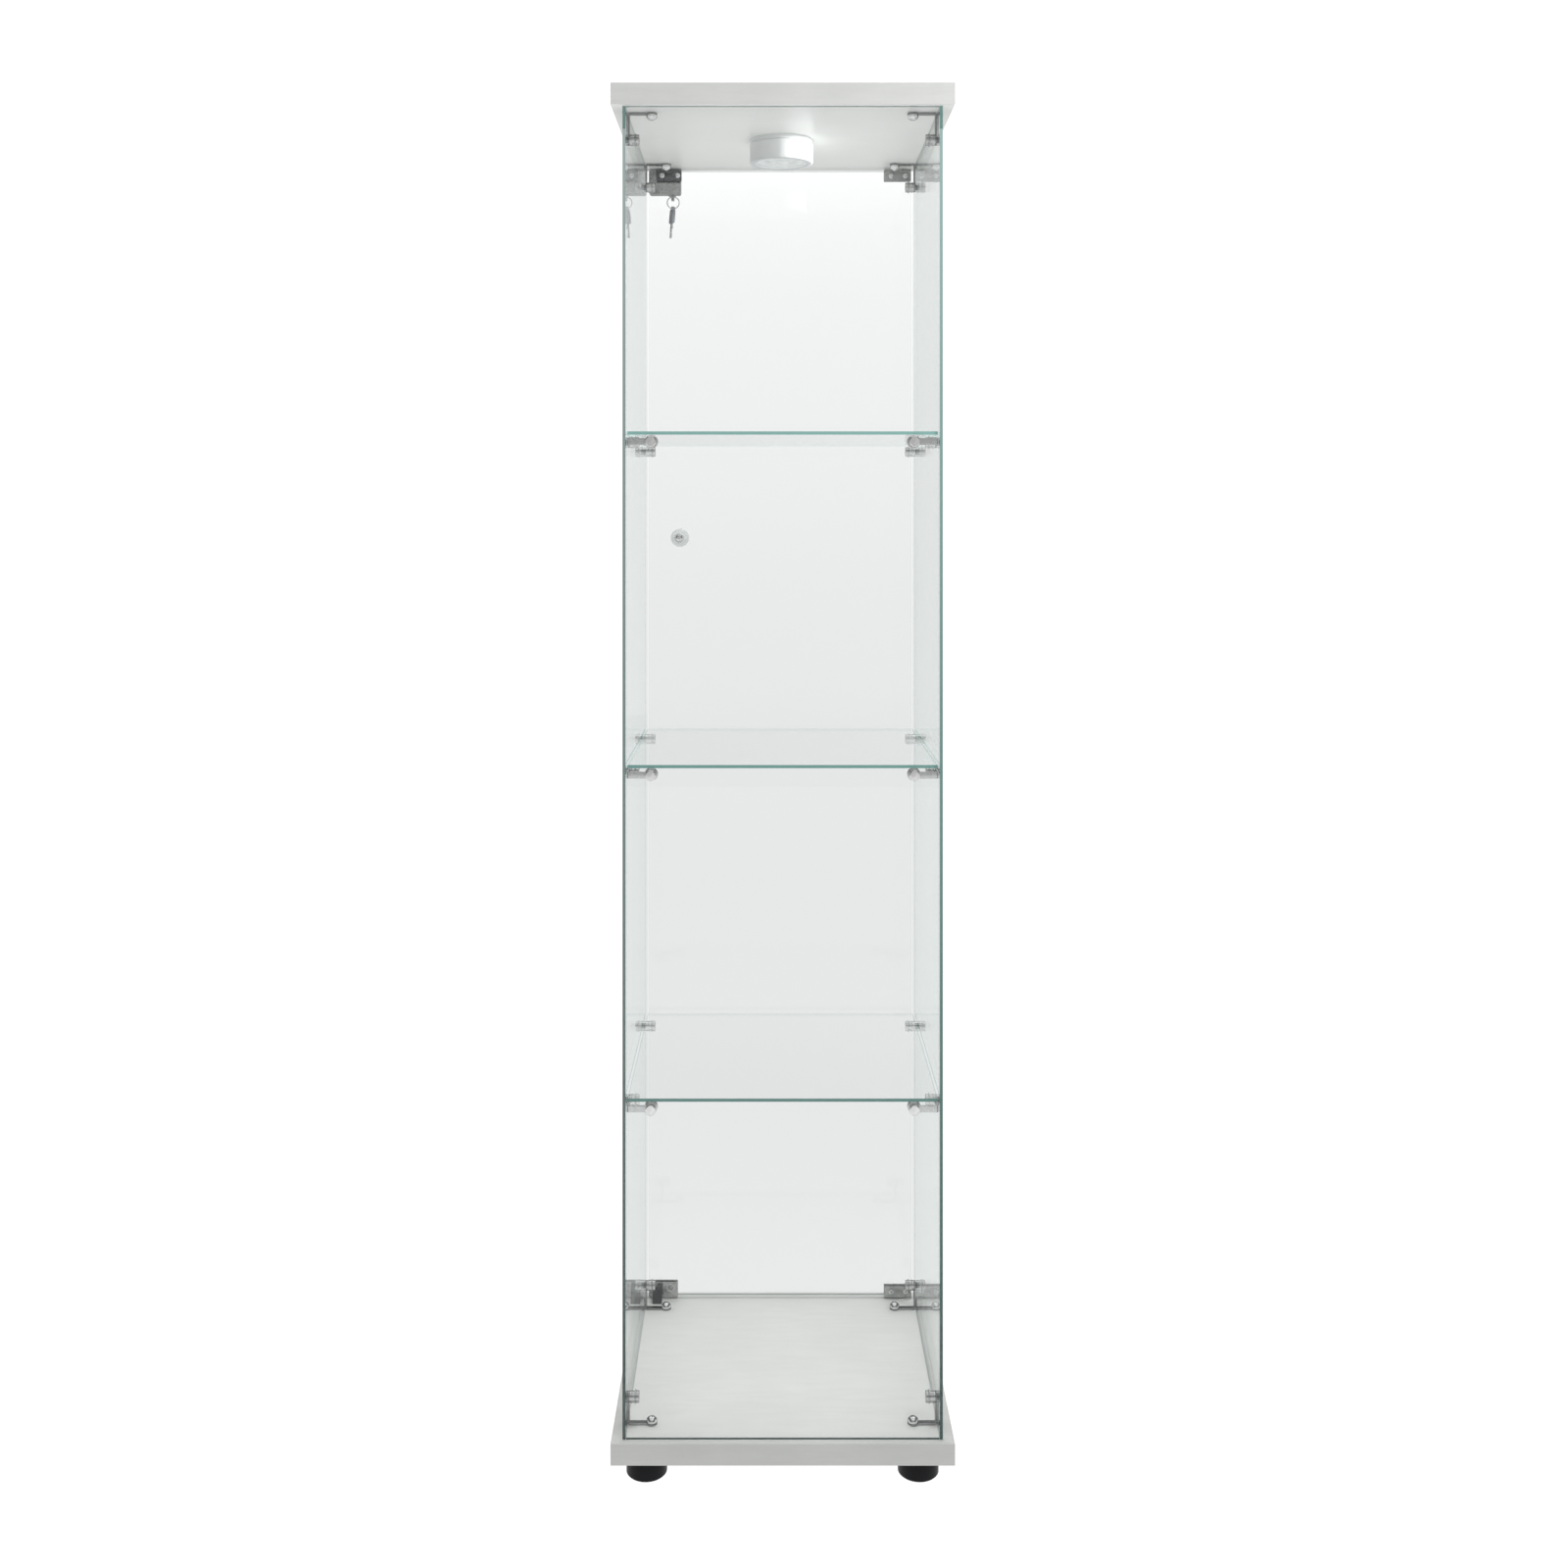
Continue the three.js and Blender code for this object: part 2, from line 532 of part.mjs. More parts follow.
function addLockCylinder() {
  const { x, z, r, y1, chamfer } = CYLINDER;
  const start = FAR_Y + 2.1;
  const collarY = LOCK.y1 + CYLINDER.collarGap;
  const collarR = r + CYLINDER.collar;
  const body = solid(turnedY([
    [start, 0], [start, r], [collarY, r], [collarY, collarR],
    [y1 - chamfer, collarR], [y1, collarR - chamfer], [y1, 0],
  ], 20).translate(x, 0, z));
  const slotX = BLADE.t / 2 + 0.3;
  const slotZ = BLADE.half + 0.4;
  const slot = box(x - slotX, x + slotX, BLADE.tip - 0.5, y1 + OVERCUT, z - slotZ, z + slotZ);
  piece('lock_cylinder', body.subtract(slot), FINISH.nickel);
}

// ---------------------------------------------------------------- keys
// Cuts in the blade's +Z edge: [distance from the tip, z], from the bow to the tip.
const BLADE_CUTS = [
  [13.6, 3.3], [11.6, 1.7], [9.6, 2.5], [7.6, 1.4], [5.6, 2.7], [4, 1.9], [2.4, 3.3],
];

function bowShape() {
  const { y0, y1, half, arch, chamfer } = BOW;
  const archY = y1 - arch;
  const outline = [[y0, -half + chamfer], [y0 + chamfer, -half], [archY, -half]];
  for (let i = 1; i < 12; i++) {
    const angle = -Math.PI / 2 + (i / 12) * Math.PI;
    outline.push([archY + arch * Math.cos(angle), half * Math.sin(angle)]);
  }
  outline.push([archY, half], [y0 + chamfer, half], [y0, half - chamfer]);
  const shape = shapeOf(outline);
  punch(shape, BOW.holeY, BOW.holeR, 12);
  return shape;
}

function bladeShape() {
  const { tip, half } = BLADE;
  const root = BOW.y0 + 2;            // the blade runs into the bow
  return shapeOf([
    [tip, 0.6], [tip + 1.4, -half], [root, -half], [root, half],
    ...BLADE_CUTS.map(([y, z]) => [tip + y, z]),
  ]);
}

// A key along +Y, bow at the far end, blade tip at the near end, flat in the Y-Z plane,
// with its long axis on the Y axis.
function keyBody() {
  // a shape drawn in (y, z), raised along x about x = 0
  const raise = (shape, t) => solid(extrude(shape, t).applyMatrix4(new THREE.Matrix4().set(
    0, 0, 1, -t / 2,
    1, 0, 0, 0,
    0, 1, 0, 0,
    0, 0, 0, 1)));
  return raise(bowShape(), BOW.t).add(raise(bladeShape(), BLADE.t));
}

function addKeys() {
  const body = keyBody();
  const doorKey = piece('door_key', body, FINISH.keyGrey);
  doorKey.position.set(CYLINDER.x, 0, CYLINDER.z);

  const hang = groupAt(CYLINDER.x, BOW.holeY, RING.z);
  const ring = new THREE.TorusGeometry(RING.R, RING.r, 6, 24).rotateX(Math.PI / 2);
  piece('key_ring', solid(ring), FINISH.nickel, hang);

  const lean = new THREE.Group();
  lean.rotation.y = THREE.MathUtils.degToRad(SPARE.lean);
  hang.add(lean);
  const spare = piece('spare_key', body, FINISH.keyGrey, lean);
  // blade down, then turned about its own length
  const turn = (x, z, angle) =>
    new THREE.Quaternion().setFromAxisAngle(new THREE.Vector3(x, 0, z), angle);
  const upright = turn(1, 0, Math.PI / 2);
  const yaw = turn(0, 1, THREE.MathUtils.degToRad(SPARE.yaw));
  spare.quaternion.copy(yaw.multiply(upright));
  // the hole's upper edge rests just above the inside of the ring
  spare.position.z = -(RING.R - RING.r) + SPARE.ringGap - (BOW.holeY + BOW.holeR);
}

// ---------------------------------------------------------------- assembly
addBoards();
addFeet();
addGlass();
addGlassFittings();
addLamp();
addDoorGlass();
addHinges();
addKnob();
addCatch();
addLockCase();
addLockPlate();
addLockBolt();
addLockCylinder();
addKeys();

// The origin is on the floor, under the middle of the overall outline.
displayCase.position.y = -OUTLINE_Y;

export default displayCase;
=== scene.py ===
"""Looks for the glass display case: finished pieces, materials, light and camera, in metres, in the frame's own axes."""

import json
import math

import bmesh
import bpy
from mathutils import Matrix, Vector
from mathutils.geometry import tessellate_polygon

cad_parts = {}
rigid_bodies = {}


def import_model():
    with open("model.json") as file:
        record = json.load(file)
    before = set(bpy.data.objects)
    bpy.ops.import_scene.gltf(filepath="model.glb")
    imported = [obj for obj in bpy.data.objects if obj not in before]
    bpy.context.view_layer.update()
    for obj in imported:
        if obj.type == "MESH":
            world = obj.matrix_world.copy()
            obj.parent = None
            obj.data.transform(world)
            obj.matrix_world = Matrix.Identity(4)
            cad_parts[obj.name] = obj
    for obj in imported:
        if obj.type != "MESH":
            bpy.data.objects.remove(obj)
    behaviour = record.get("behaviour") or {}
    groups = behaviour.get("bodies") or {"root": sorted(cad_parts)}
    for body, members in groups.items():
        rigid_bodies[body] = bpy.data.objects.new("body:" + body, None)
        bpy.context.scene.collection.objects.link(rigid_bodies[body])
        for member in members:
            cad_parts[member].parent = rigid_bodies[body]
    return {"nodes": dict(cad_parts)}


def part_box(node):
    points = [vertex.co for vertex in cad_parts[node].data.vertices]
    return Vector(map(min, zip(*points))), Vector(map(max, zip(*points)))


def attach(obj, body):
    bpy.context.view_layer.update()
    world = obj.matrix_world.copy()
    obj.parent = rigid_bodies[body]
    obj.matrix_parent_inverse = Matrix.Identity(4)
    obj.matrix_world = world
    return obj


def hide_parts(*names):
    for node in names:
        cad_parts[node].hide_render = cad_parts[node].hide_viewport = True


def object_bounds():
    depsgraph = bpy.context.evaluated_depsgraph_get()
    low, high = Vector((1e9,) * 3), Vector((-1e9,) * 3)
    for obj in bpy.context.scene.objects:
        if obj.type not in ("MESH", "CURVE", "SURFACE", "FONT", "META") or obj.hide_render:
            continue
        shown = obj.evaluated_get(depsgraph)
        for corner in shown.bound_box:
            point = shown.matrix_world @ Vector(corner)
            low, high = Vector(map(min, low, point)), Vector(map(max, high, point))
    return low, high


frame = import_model()
cad_lo, cad_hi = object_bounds()
NODES = frame["nodes"]
scene = bpy.context.scene
MM = 0.001
pi = math.pi
# the middle of the boards, from which the case is laid out
MID_Y = sum(c.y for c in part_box("top_board")) / 2

# ------------------------------------------------------------------ node helpers


class Tree:
    """A material or world node tree with short helpers."""

    def __init__(self, owner):
        owner.use_nodes = True
        self.nt = owner.node_tree
        self.nt.nodes.clear()

    def add(self, kind, **inputs):
        n = self.nt.nodes.new("ShaderNode" + kind)
        for key, value in inputs.items():
            self.put(n, key, value)
        return n

    def put(self, n, key, value):
        if isinstance(key, str) and not key.startswith("i") and hasattr(n, key) and key not in n.inputs:
            setattr(n, key, value)
            return
        sock = n.inputs[int(key[1:])] if key.startswith("i") and key[1:].isdigit() else n.inputs[key]
        self.feed(sock, value)

    def feed(self, sock, value):
        if isinstance(value, bpy.types.NodeSocket):
            self.nt.links.new(value, sock)
        else:
            sock.default_value = value

    def math(self, op, a, b=0.0, c=None, clamp=False):
        n = self.nt.nodes.new("ShaderNodeMath")
        n.operation = op
        n.use_clamp = clamp
        self.feed(n.inputs[0], a)
        self.feed(n.inputs[1], b)
        if c is not None:
            self.feed(n.inputs[2], c)
        return n.outputs[0]

    def mix(self, fac, a, b, blend="MIX"):
        n = self.nt.nodes.new("ShaderNodeMix")
        n.data_type = "RGBA"
        n.blend_type = blend
        self.feed(n.inputs[0], fac)
        self.feed(n.inputs[6], a)
        self.feed(n.inputs[7], b)
        return n.outputs[2]

    def ramp(self, fac, stops, mode="LINEAR"):
        n = self.nt.nodes.new("ShaderNodeValToRGB")
        n.color_ramp.interpolation = mode
        e = n.color_ramp.elements
        while len(e) < len(stops):
            e.new(0.5)
        for el, (p, c) in zip(e, stops):
            el.position = p
            el.color = c if len(c) == 4 else (*c, 1)
        self.feed(n.inputs[0], fac)
        return n.outputs[0]

    def grey(self, fac, stops, mode="LINEAR"):
        return self.ramp(fac, [(p, (v, v, v)) for p, v in stops], mode)

    def noise(self, scale, detail=4.0, rough=0.5, stretch=None, coords=None):
        if coords is None:
            coords = self.coords()
        if stretch is not None:
            m = self.nt.nodes.new("ShaderNodeMapping")
            m.inputs["Scale"].default_value = stretch
            self.feed(m.inputs["Vector"], coords)
            coords = m.outputs[0]
        n = self.nt.nodes.new("ShaderNodeTexNoise")
        n.inputs["Scale"].default_value = scale
        n.inputs["Detail"].default_value = detail
        n.inputs["Roughness"].default_value = rough
        self.feed(n.inputs["Vector"], coords)
        return n.outputs[0]

    def coords(self):
        return self.nt.nodes.new("ShaderNodeTexCoord").outputs["Object"]

    def bump(self, height, strength=0.3, distance=0.0002, normal=None):
        n = self.nt.nodes.new("ShaderNodeBump")
        n.inputs["Strength"].default_value = strength
        n.inputs["Distance"].default_value = distance
        self.feed(n.inputs["Height"], height)
        if normal is not None:
            self.feed(n.inputs["Normal"], normal)
        return n.outputs[0]

    def xyz(self, vec):
        n = self.nt.nodes.new("ShaderNodeSeparateXYZ")
        self.feed(n.inputs[0], vec)
        return n.outputs

    def principled(self, **inputs):
        n = self.nt.nodes.new("ShaderNodeBsdfPrincipled")
        for key, value in inputs.items():
            self.feed(n.inputs[key.replace("_", " ")], value)
        return n

    def out(self, shader, world=False):
        n = self.nt.nodes.new("ShaderNodeOutputWorld" if world else "ShaderNodeOutputMaterial")
        self.feed(n.inputs["Surface"], shader)
        return n


def material(name):
    m = bpy.data.materials.new(name)
    return m, Tree(m)


# ------------------------------------------------------------------ materials


def make_laminate():
    m, t = material("laminate")
    co = t.coords()
    x, y, z = t.xyz(co)
    fine = t.noise(900, 3, 0.6, coords=co)
    cloud = t.noise(14, 5, 0.55, coords=co)
    flow = t.noise(60, 6, 0.6, stretch=(0.35, 2.6, 2.2), coords=co)
    base = t.mix(t.grey(cloud, [(0.3, 0), (0.7, 1)]), (0.742, 0.752, 0.732, 1), (0.79, 0.80, 0.778, 1))
    base = t.mix(t.math("MULTIPLY", t.grey(flow, [(0.42, 0), (0.62, 1)]), 0.35), base, (0.70, 0.712, 0.69, 1))
    base = t.mix(t.math("MULTIPLY", t.grey(fine, [(0.55, 0), (0.72, 1)]), 0.18), base, (0.62, 0.63, 0.61, 1))
    # glue line of the edge band: 0.8 mm in from the outline, on the broad faces
    dx = t.math("SUBTRACT", cad_hi.x, t.math("ABSOLUTE", x))
    dy = t.math("SUBTRACT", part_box("top_board")[1].y - MID_Y, t.math("ABSOLUTE", t.math("SUBTRACT", y, MID_Y)))
    d = t.math("MINIMUM", dx, dy)
    line = t.math("LESS_THAN", t.math("ABSOLUTE", t.math("SUBTRACT", d, 0.0011)), 0.00014)
    base = t.mix(t.math("MULTIPLY", line, 0.45), base, (0.33, 0.33, 0.31, 1))
    rough = t.math("ADD", 0.30, t.math("MULTIPLY", cloud, 0.16))
    n = t.bump(fine, 0.10, 0.00006)
    n = t.bump(flow, 0.06, 0.0002, n)
    p = t.principled(Base_Color=base, Roughness=rough, Normal=n, Coat_Weight=0.12, Coat_Roughness=0.22, IOR=1.5)
    t.out(p.outputs[0])
    return m


def make_glass(axis, name, mirror=0.90, inner=0.0):
    """Clear float glass. Broad faces let the view straight through and mirror by angle; ground edges are green.

    mirror is the reflection added at a grazing angle, inner how far an edge clears when seen from inside the sheet.
    """
    m, t = material("glass_" + name)
    geo = t.nt.nodes.new("ShaderNodeNewGeometry")
    nx, ny, nz = t.xyz(geo.outputs["True Normal"])
    across = t.math("ABSOLUTE", {"X": nx, "Y": ny, "Z": nz}[axis])
    # mirror strength from the angle only, the same from both sides of the sheet
    dot = t.nt.nodes.new("ShaderNodeVectorMath")
    dot.operation = "DOT_PRODUCT"
    t.feed(dot.inputs[0], geo.outputs["Normal"])
    t.feed(dot.inputs[1], geo.outputs["Incoming"])
    c = t.math("SUBTRACT", 1.0, t.math("ABSOLUTE", dot.outputs["Value"]), clamp=True)
    f = t.math("ADD", 0.03, t.math("MULTIPLY", t.math("POWER", c, 5.0), mirror), clamp=True)
    co = t.coords()
    smear = t.grey(t.noise(7, 5, 0.6, coords=co), [(0.45, 0.0), (0.75, 1.0)])
    clear = t.add("BsdfTransparent", Color=(0.978, 0.981, 0.980, 1))
    gloss = t.add("BsdfGlossy", Color=(0.97, 0.99, 0.985, 1), Roughness=t.math("ADD", 0.004, t.math("MULTIPLY", smear, 0.02)))
    face = t.add("MixShader", i0=f, i1=clear.outputs[0], i2=gloss.outputs[0])
    # edges: painted light, dark teal low down and brighter towards the top as if light were carried along the sheet,
    # with fine grinding marks
    x, y, z = t.xyz(co)
    height = t.math("DIVIDE", z, 1.63, clamp=True)
    teal = t.ramp(height, [(0.0, (0.014, 0.042, 0.037)), (0.10, (0.024, 0.068, 0.058)), (0.17, (0.045, 0.130, 0.112)), (0.45, (0.125, 0.250, 0.228)), (0.75, (0.215, 0.355, 0.330)), (1.0, (0.34, 0.48, 0.465))])
    # the left pane is cut from a slightly greyer sheet
    grey_pane = t.math("MULTIPLY", t.math("LESS_THAN", x, -0.1825), 0.55)
    teal = t.mix(grey_pane, teal, t.ramp(height, [(0.0, (0.028, 0.036, 0.036)), (0.17, (0.085, 0.105, 0.103)), (0.45, (0.20, 0.225, 0.222)), (0.75, (0.30, 0.325, 0.32)), (1.0, (0.46, 0.49, 0.49))]))
    # painted shade: the edges turn dark teal just under the top board
    roof_shade_band = t.math("MULTIPLY", t.math("GREATER_THAN", z, 1.5785), 0.72)
    teal = t.mix(roof_shade_band, teal, (0.030, 0.135, 0.115, 1))
    # shelf edges get the painted light brighter still
    if axis == "Z":
        teal = t.mix(1.0, teal, (1.30, 1.62, 1.60, 1), "MULTIPLY")
    grind = t.noise(350, 4, 0.6, stretch={"X": (6, 0.6, 0.6), "Y": (0.6, 6, 0.6), "Z": (0.6, 0.6, 6)}[axis], coords=co)
    teal = t.mix(t.math("MULTIPLY", t.grey(grind, [(0.35, 0), (0.7, 1)]), 0.30), teal, (0.34, 0.45, 0.43, 1))
    edge = t.principled(Base_Color=teal, Roughness=0.16, IOR=1.5, Normal=t.bump(grind, 0.12, 0.0001))
    # the edge colour also glows faintly: painted light
    t.feed(edge.inputs["Emission Color"], teal)
    edge.inputs["Emission Strength"].default_value = 0.10
    # arris faces get a lighter colour: a painted highlight
    arris_highlight = t.principled(Base_Color=(0.60, 0.74, 0.71, 1), Roughness=0.12, IOR=1.5)
    broad = t.math("GREATER_THAN", across, 0.93)
    arris = t.math("GREATER_THAN", across, 0.25)
    side = t.add("MixShader", i0=arris, i1=edge.outputs[0], i2=arris_highlight.outputs[0])
    if axis == "Z":
        # a shelf's far edge all but vanishes through the sheet; its two side edges stay as thin lines
        pale = t.add("BsdfTransparent", Color=(0.955, 0.97, 0.967, 1))
        far = t.math("ADD", 0.45, t.math("MULTIPLY", t.math("GREATER_THAN", t.math("ABSOLUTE", ny), 0.6), inner - 0.45))
        fac = t.math("MULTIPLY", geo.outputs["Backfacing"], far)
        side = t.add("MixShader", i0=fac, i1=side.outputs[0], i2=pale.outputs[0])
    elif inner:
        # the sheet's far ends, looked at through its own face: only a thin dark line stays at the inner corner
        depth = t.math("ABSOLUTE", x) if axis == "X" else t.math("SUBTRACT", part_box("door_glass")[1].y, y)
        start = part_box("side_glass_right")[0].x if axis == "X" else 0.0
        lying = t.math("GREATER_THAN", t.math("ABSOLUTE", nz), 0.6)
        thin = t.math("MULTIPLY", lying, t.math("LESS_THAN", t.math("SUBTRACT", depth, start), 0.0018))
        pale = t.add("BsdfTransparent", Color=(0.93, 0.955, 0.95, 1))
        line = t.principled(Base_Color=(0.030, 0.060, 0.056, 1), Roughness=0.3)
        fac = t.math("MULTIPLY", geo.outputs["Backfacing"], inner)
        cleared = t.add("MixShader", i0=fac, i1=side.outputs[0], i2=pale.outputs[0])
        fac = t.math("MULTIPLY", geo.outputs["Backfacing"], thin)
        side = t.add("MixShader", i0=fac, i1=cleared.outputs[0], i2=line.outputs[0])
    whole = t.add("MixShader", i0=broad, i1=side.outputs[0], i2=face.outputs[0])
    t.out(whole.outputs[0])
    return m


def make_metal(name, color, rough, brushed=None, scratch=0.05, dark=0.82, turn=0.30):
    m, t = material(name)
    co = t.coords()
    wear = t.noise(220, 5, 0.6, coords=co)
    fine = t.noise(1800, 2, 0.5, coords=co)
    base = t.mix(t.grey(wear, [(0.35, 0), (0.7, 1)]), (*[v * dark for v in color], 1), (*color, 1))
    # painted shade: the colour darkens towards grazing angles, a dark outline round curved parts; turn is the factor
    # left at the outline
    facing = t.nt.nodes.new("ShaderNodeLayerWeight")
    facing.inputs["Blend"].default_value = 0.5
    base = t.mix(1.0, base, t.grey(facing.outputs["Facing"], [(0.35, 1.0), (0.75, turn)]), "MULTIPLY")
    r = t.math("ADD", rough, t.math("MULTIPLY", t.math("SUBTRACT", wear, 0.5), 0.22))
    n = t.bump(fine, scratch, 0.00004)
    if brushed:
        lines = t.noise(1200, 3, 0.5, stretch=brushed, coords=co)
        r = t.math("ADD", r, t.math("MULTIPLY", lines, 0.14))
        n = t.bump(lines, 0.22, 0.00006, n)
    p = t.principled(Base_Color=base, Metallic=1.0, Roughness=r, Normal=n)
    t.out(p.outputs[0])
    return m


def make_plastic(name, color, rough, grain=900, depth=0.00012, spread=0.25, spec=0.5, extra=None):
    m, t = material(name)
    co = t.coords()
    g = t.noise(grain, 3, 0.6, coords=co)
    broad = t.noise(35, 4, 0.6, coords=co)
    hi = tuple(min(1.0, v * (1 + spread)) for v in color)
    lo = tuple(v * (1 - spread * 0.6) for v in color)
    base = t.mix(t.grey(broad, [(0.3, 0), (0.7, 1)]), (*lo, 1), (*hi, 1))
    r = t.math("ADD", rough, t.math("MULTIPLY", t.math("SUBTRACT", g, 0.5), 0.18))
    p = t.principled(Base_Color=base, Roughness=r, Normal=t.bump(g, 0.25, depth), Specular_IOR_Level=spec)
    for k, v in (extra or {}).items():
        t.feed(p.inputs[k], v)
    t.out(p.outputs[0])
    return m


def make_lens():
    m, t = material("lamp_lens")
    co = t.coords()
    x, y, z = t.xyz(co)
    r = t.math("SQRT", t.math("ADD", t.math("MULTIPLY", x, x), t.math("MULTIPLY", y, y)))
    rings = t.math("SINE", t.math("MULTIPLY", r, 2 * pi / 0.0011))
    clear = t.add("BsdfTransparent", Color=(0.93, 0.95, 0.95, 1))
    milky = t.principled(Base_Color=(0.80, 0.82, 0.82, 1), Roughness=0.22, Normal=t.bump(rings, 0.35, 0.0003))
    lit = t.grey(rings, [(0.0, 0.30), (1.0, 0.62)])
    t.feed(milky.inputs["Emission Color"], t.mix(1.0, (0.98, 1.0, 1.0, 1), lit, "MULTIPLY"))
    milky.inputs["Emission Strength"].default_value = 0.8
    f = t.grey(t.noise(90, 3, 0.5, coords=co), [(0.3, 0.42), (0.7, 0.62)])
    mix = t.add("MixShader", i0=f, i1=clear.outputs[0], i2=milky.outputs[0])
    t.out(mix.outputs[0])
    return m


def make_acrylic():
    m, t = material("knob_acrylic")
    co = t.coords()
    cloud = t.noise(160, 4, 0.6, coords=co)
    clear = t.add("BsdfTransparent", Color=(0.90, 0.915, 0.91, 1))
    milky = t.principled(Base_Color=(0.80, 0.82, 0.815, 1), Roughness=0.24, Normal=t.bump(t.noise(700, 3, 0.6, coords=co), 0.12, 0.0001))
    f = t.grey(cloud, [(0.3, 0.16), (0.7, 0.30)])
    t.out(t.add("MixShader", i0=f, i1=clear.outputs[0], i2=milky.outputs[0]).outputs[0])
    return m


def make_emitter_dot():
    m, t = material("led_chip")
    co = t.coords()
    base = t.mix(t.noise(2500, 2, 0.5, coords=co), (0.85, 0.80, 0.45, 1), (0.93, 0.90, 0.66, 1))
    p = t.principled(Base_Color=base, Roughness=0.3)
    t.feed(p.inputs["Emission Color"], base)
    p.inputs["Emission Strength"].default_value = 2.2
    t.out(p.outputs[0])
    return m


LAMINATE = make_laminate()
GLASS = {"X": make_glass("X", "side", 0.90, 0.80), "Y": make_glass("Y", "fixed"), "D": make_glass("Y", "door", 0.90, 0.72), "Z": make_glass("Z", "shelf", 0.36, 0.93)}
# one satin nickel in lit and shaded copies: the board bracket straps are painted darker (painted shade); the corner
# fittings and shelf pins are painted lighter, with less outline shade (painted light)
NICKEL = make_metal("satin_nickel", (0.68, 0.68, 0.675), 0.15)
STRAP = make_metal("strap_nickel_painted_shade", (0.36, 0.362, 0.362), 0.20)
LIT_NICKEL = make_metal("nickel_painted_light", (0.92, 0.92, 0.915), 0.22, turn=0.60)
LIT_STRAP = make_metal("pale_strap", (0.76, 0.765, 0.765), 0.24, turn=0.60)
BRUSHED_X = make_metal("brushed_along_x", (0.50, 0.505, 0.50), 0.22, brushed=(0.12, 4, 4))
JAW = make_metal("dark_jaw", (0.15, 0.155, 0.16), 0.20, brushed=(0.12, 4, 4))
STEEL = make_metal("bright_steel", (0.93, 0.93, 0.93), 0.10)
LAMP = make_plastic("lamp_paint", (0.80, 0.815, 0.82), 0.33, grain=1600, depth=0.00005, spread=0.03)
RUBBER = make_plastic("black_rubber", (0.018, 0.018, 0.019), 0.62, grain=1400)
FOOT = make_plastic("foot_plastic", (0.0070, 0.0074, 0.0086), 0.42, grain=700, depth=0.0002, spec=0.16)
BLACK = make_plastic("catch_plastic", (0.022, 0.022, 0.026), 0.5, grain=900)
BUSH = make_plastic("bush_plastic", (0.62, 0.62, 0.60), 0.5)
PCB = make_plastic("led_board", (0.80, 0.80, 0.77), 0.42, grain=500, spread=0.05)
KEY = make_plastic("key_bow", (0.27, 0.28, 0.30), 0.36, grain=1500, depth=0.00008, spread=0.12)
GASKET = make_plastic("clear_gasket", (0.30, 0.32, 0.31), 0.45, grain=600)
LENS = make_lens()
ACRYLIC = make_acrylic()
LED = make_emitter_dot()

# ------------------------------------------------------------------ mesh helpers


def finish_mesh(me, angle=32, bevel=None):
    bm = bmesh.new()
    bm.from_mesh(me)
    bmesh.ops.remove_doubles(bm, verts=bm.verts, dist=1e-8)
    bmesh.ops.recalc_face_normals(bm, faces=bm.faces)
    if bm.calc_volume(signed=True) < 0:
        bmesh.ops.reverse_faces(bm, faces=bm.faces)
    bm.to_mesh(me)
    bm.free()
    for p in me.polygons:
        p.use_smooth = True
    me.set_sharp_from_angle(angle=math.radians(angle))
    return me


def raw(name, verts, faces):
    me = bpy.data.meshes.new(name)
    me.from_pydata([tuple(v) for v in verts], [], faces)
    me.update()
    return me


def place(name, me, mats, body, matrix=None, replaces=()):
    ob = bpy.data.objects.new(name, me)
    scene.collection.objects.link(ob)
    if not me.materials:
        for mat in mats if isinstance(mats, (list, tuple)) else [mats]:
            me.materials.append(mat)
    if matrix is not None:
        ob.matrix_world = matrix
    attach(ob, body)
    if replaces:
        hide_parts(*([replaces] if isinstance(replaces, str) else replaces))
    return ob


def evaluated(me, modifiers):
    """The mesh after a list of (type, settings) modifiers."""
    ob = bpy.data.objects.new("tmp", me)
    scene.collection.objects.link(ob)
    for kind, settings in modifiers:
        mod = ob.modifiers.new("m", kind)
        for k, v in settings.items():
            setattr(mod, k, v)
    bpy.context.view_layer.update()
    dg = bpy.context.evaluated_depsgraph_get()
    out = bpy.data.meshes.new_from_object(ob.evaluated_get(dg), depsgraph=dg)
    out.name = me.name
    bpy.data.objects.remove(ob)
    return out


def boolean(me, others, op):
    for other in others:
        cut = bpy.data.objects.new("cut", other)
        scene.collection.objects.link(cut)
        me = evaluated(me, [("BOOLEAN", {"operation": op, "solver": "EXACT", "object": cut})])
        bpy.data.objects.remove(cut)
    return me


def bevelled(me, width, segments=3, angle=30, smooth=40):
    out = evaluated(me, [("BEVEL", {"width": width * MM, "segments": segments, "limit_method": "ANGLE", "angle_limit": math.radians(angle), "use_clamp_overlap": True})])
    return finish_mesh(out, smooth)


def joined(parts):
    """One mesh from (mesh, matrix) parts; face material numbers are kept."""
    bm = bmesh.new()
    for me, mx in parts:
        n = len(bm.verts)
        bm.from_mesh(me)
        bm.verts.ensure_lookup_table()
        if mx is not None:
            bmesh.ops.transform(bm, matrix=mx, verts=bm.verts[n:])
    out = bpy.data.meshes.new(parts[0][0].name)
    bm.to_mesh(out)
    bm.free()
    out.set_sharp_from_angle(angle=math.radians(32))
    return out


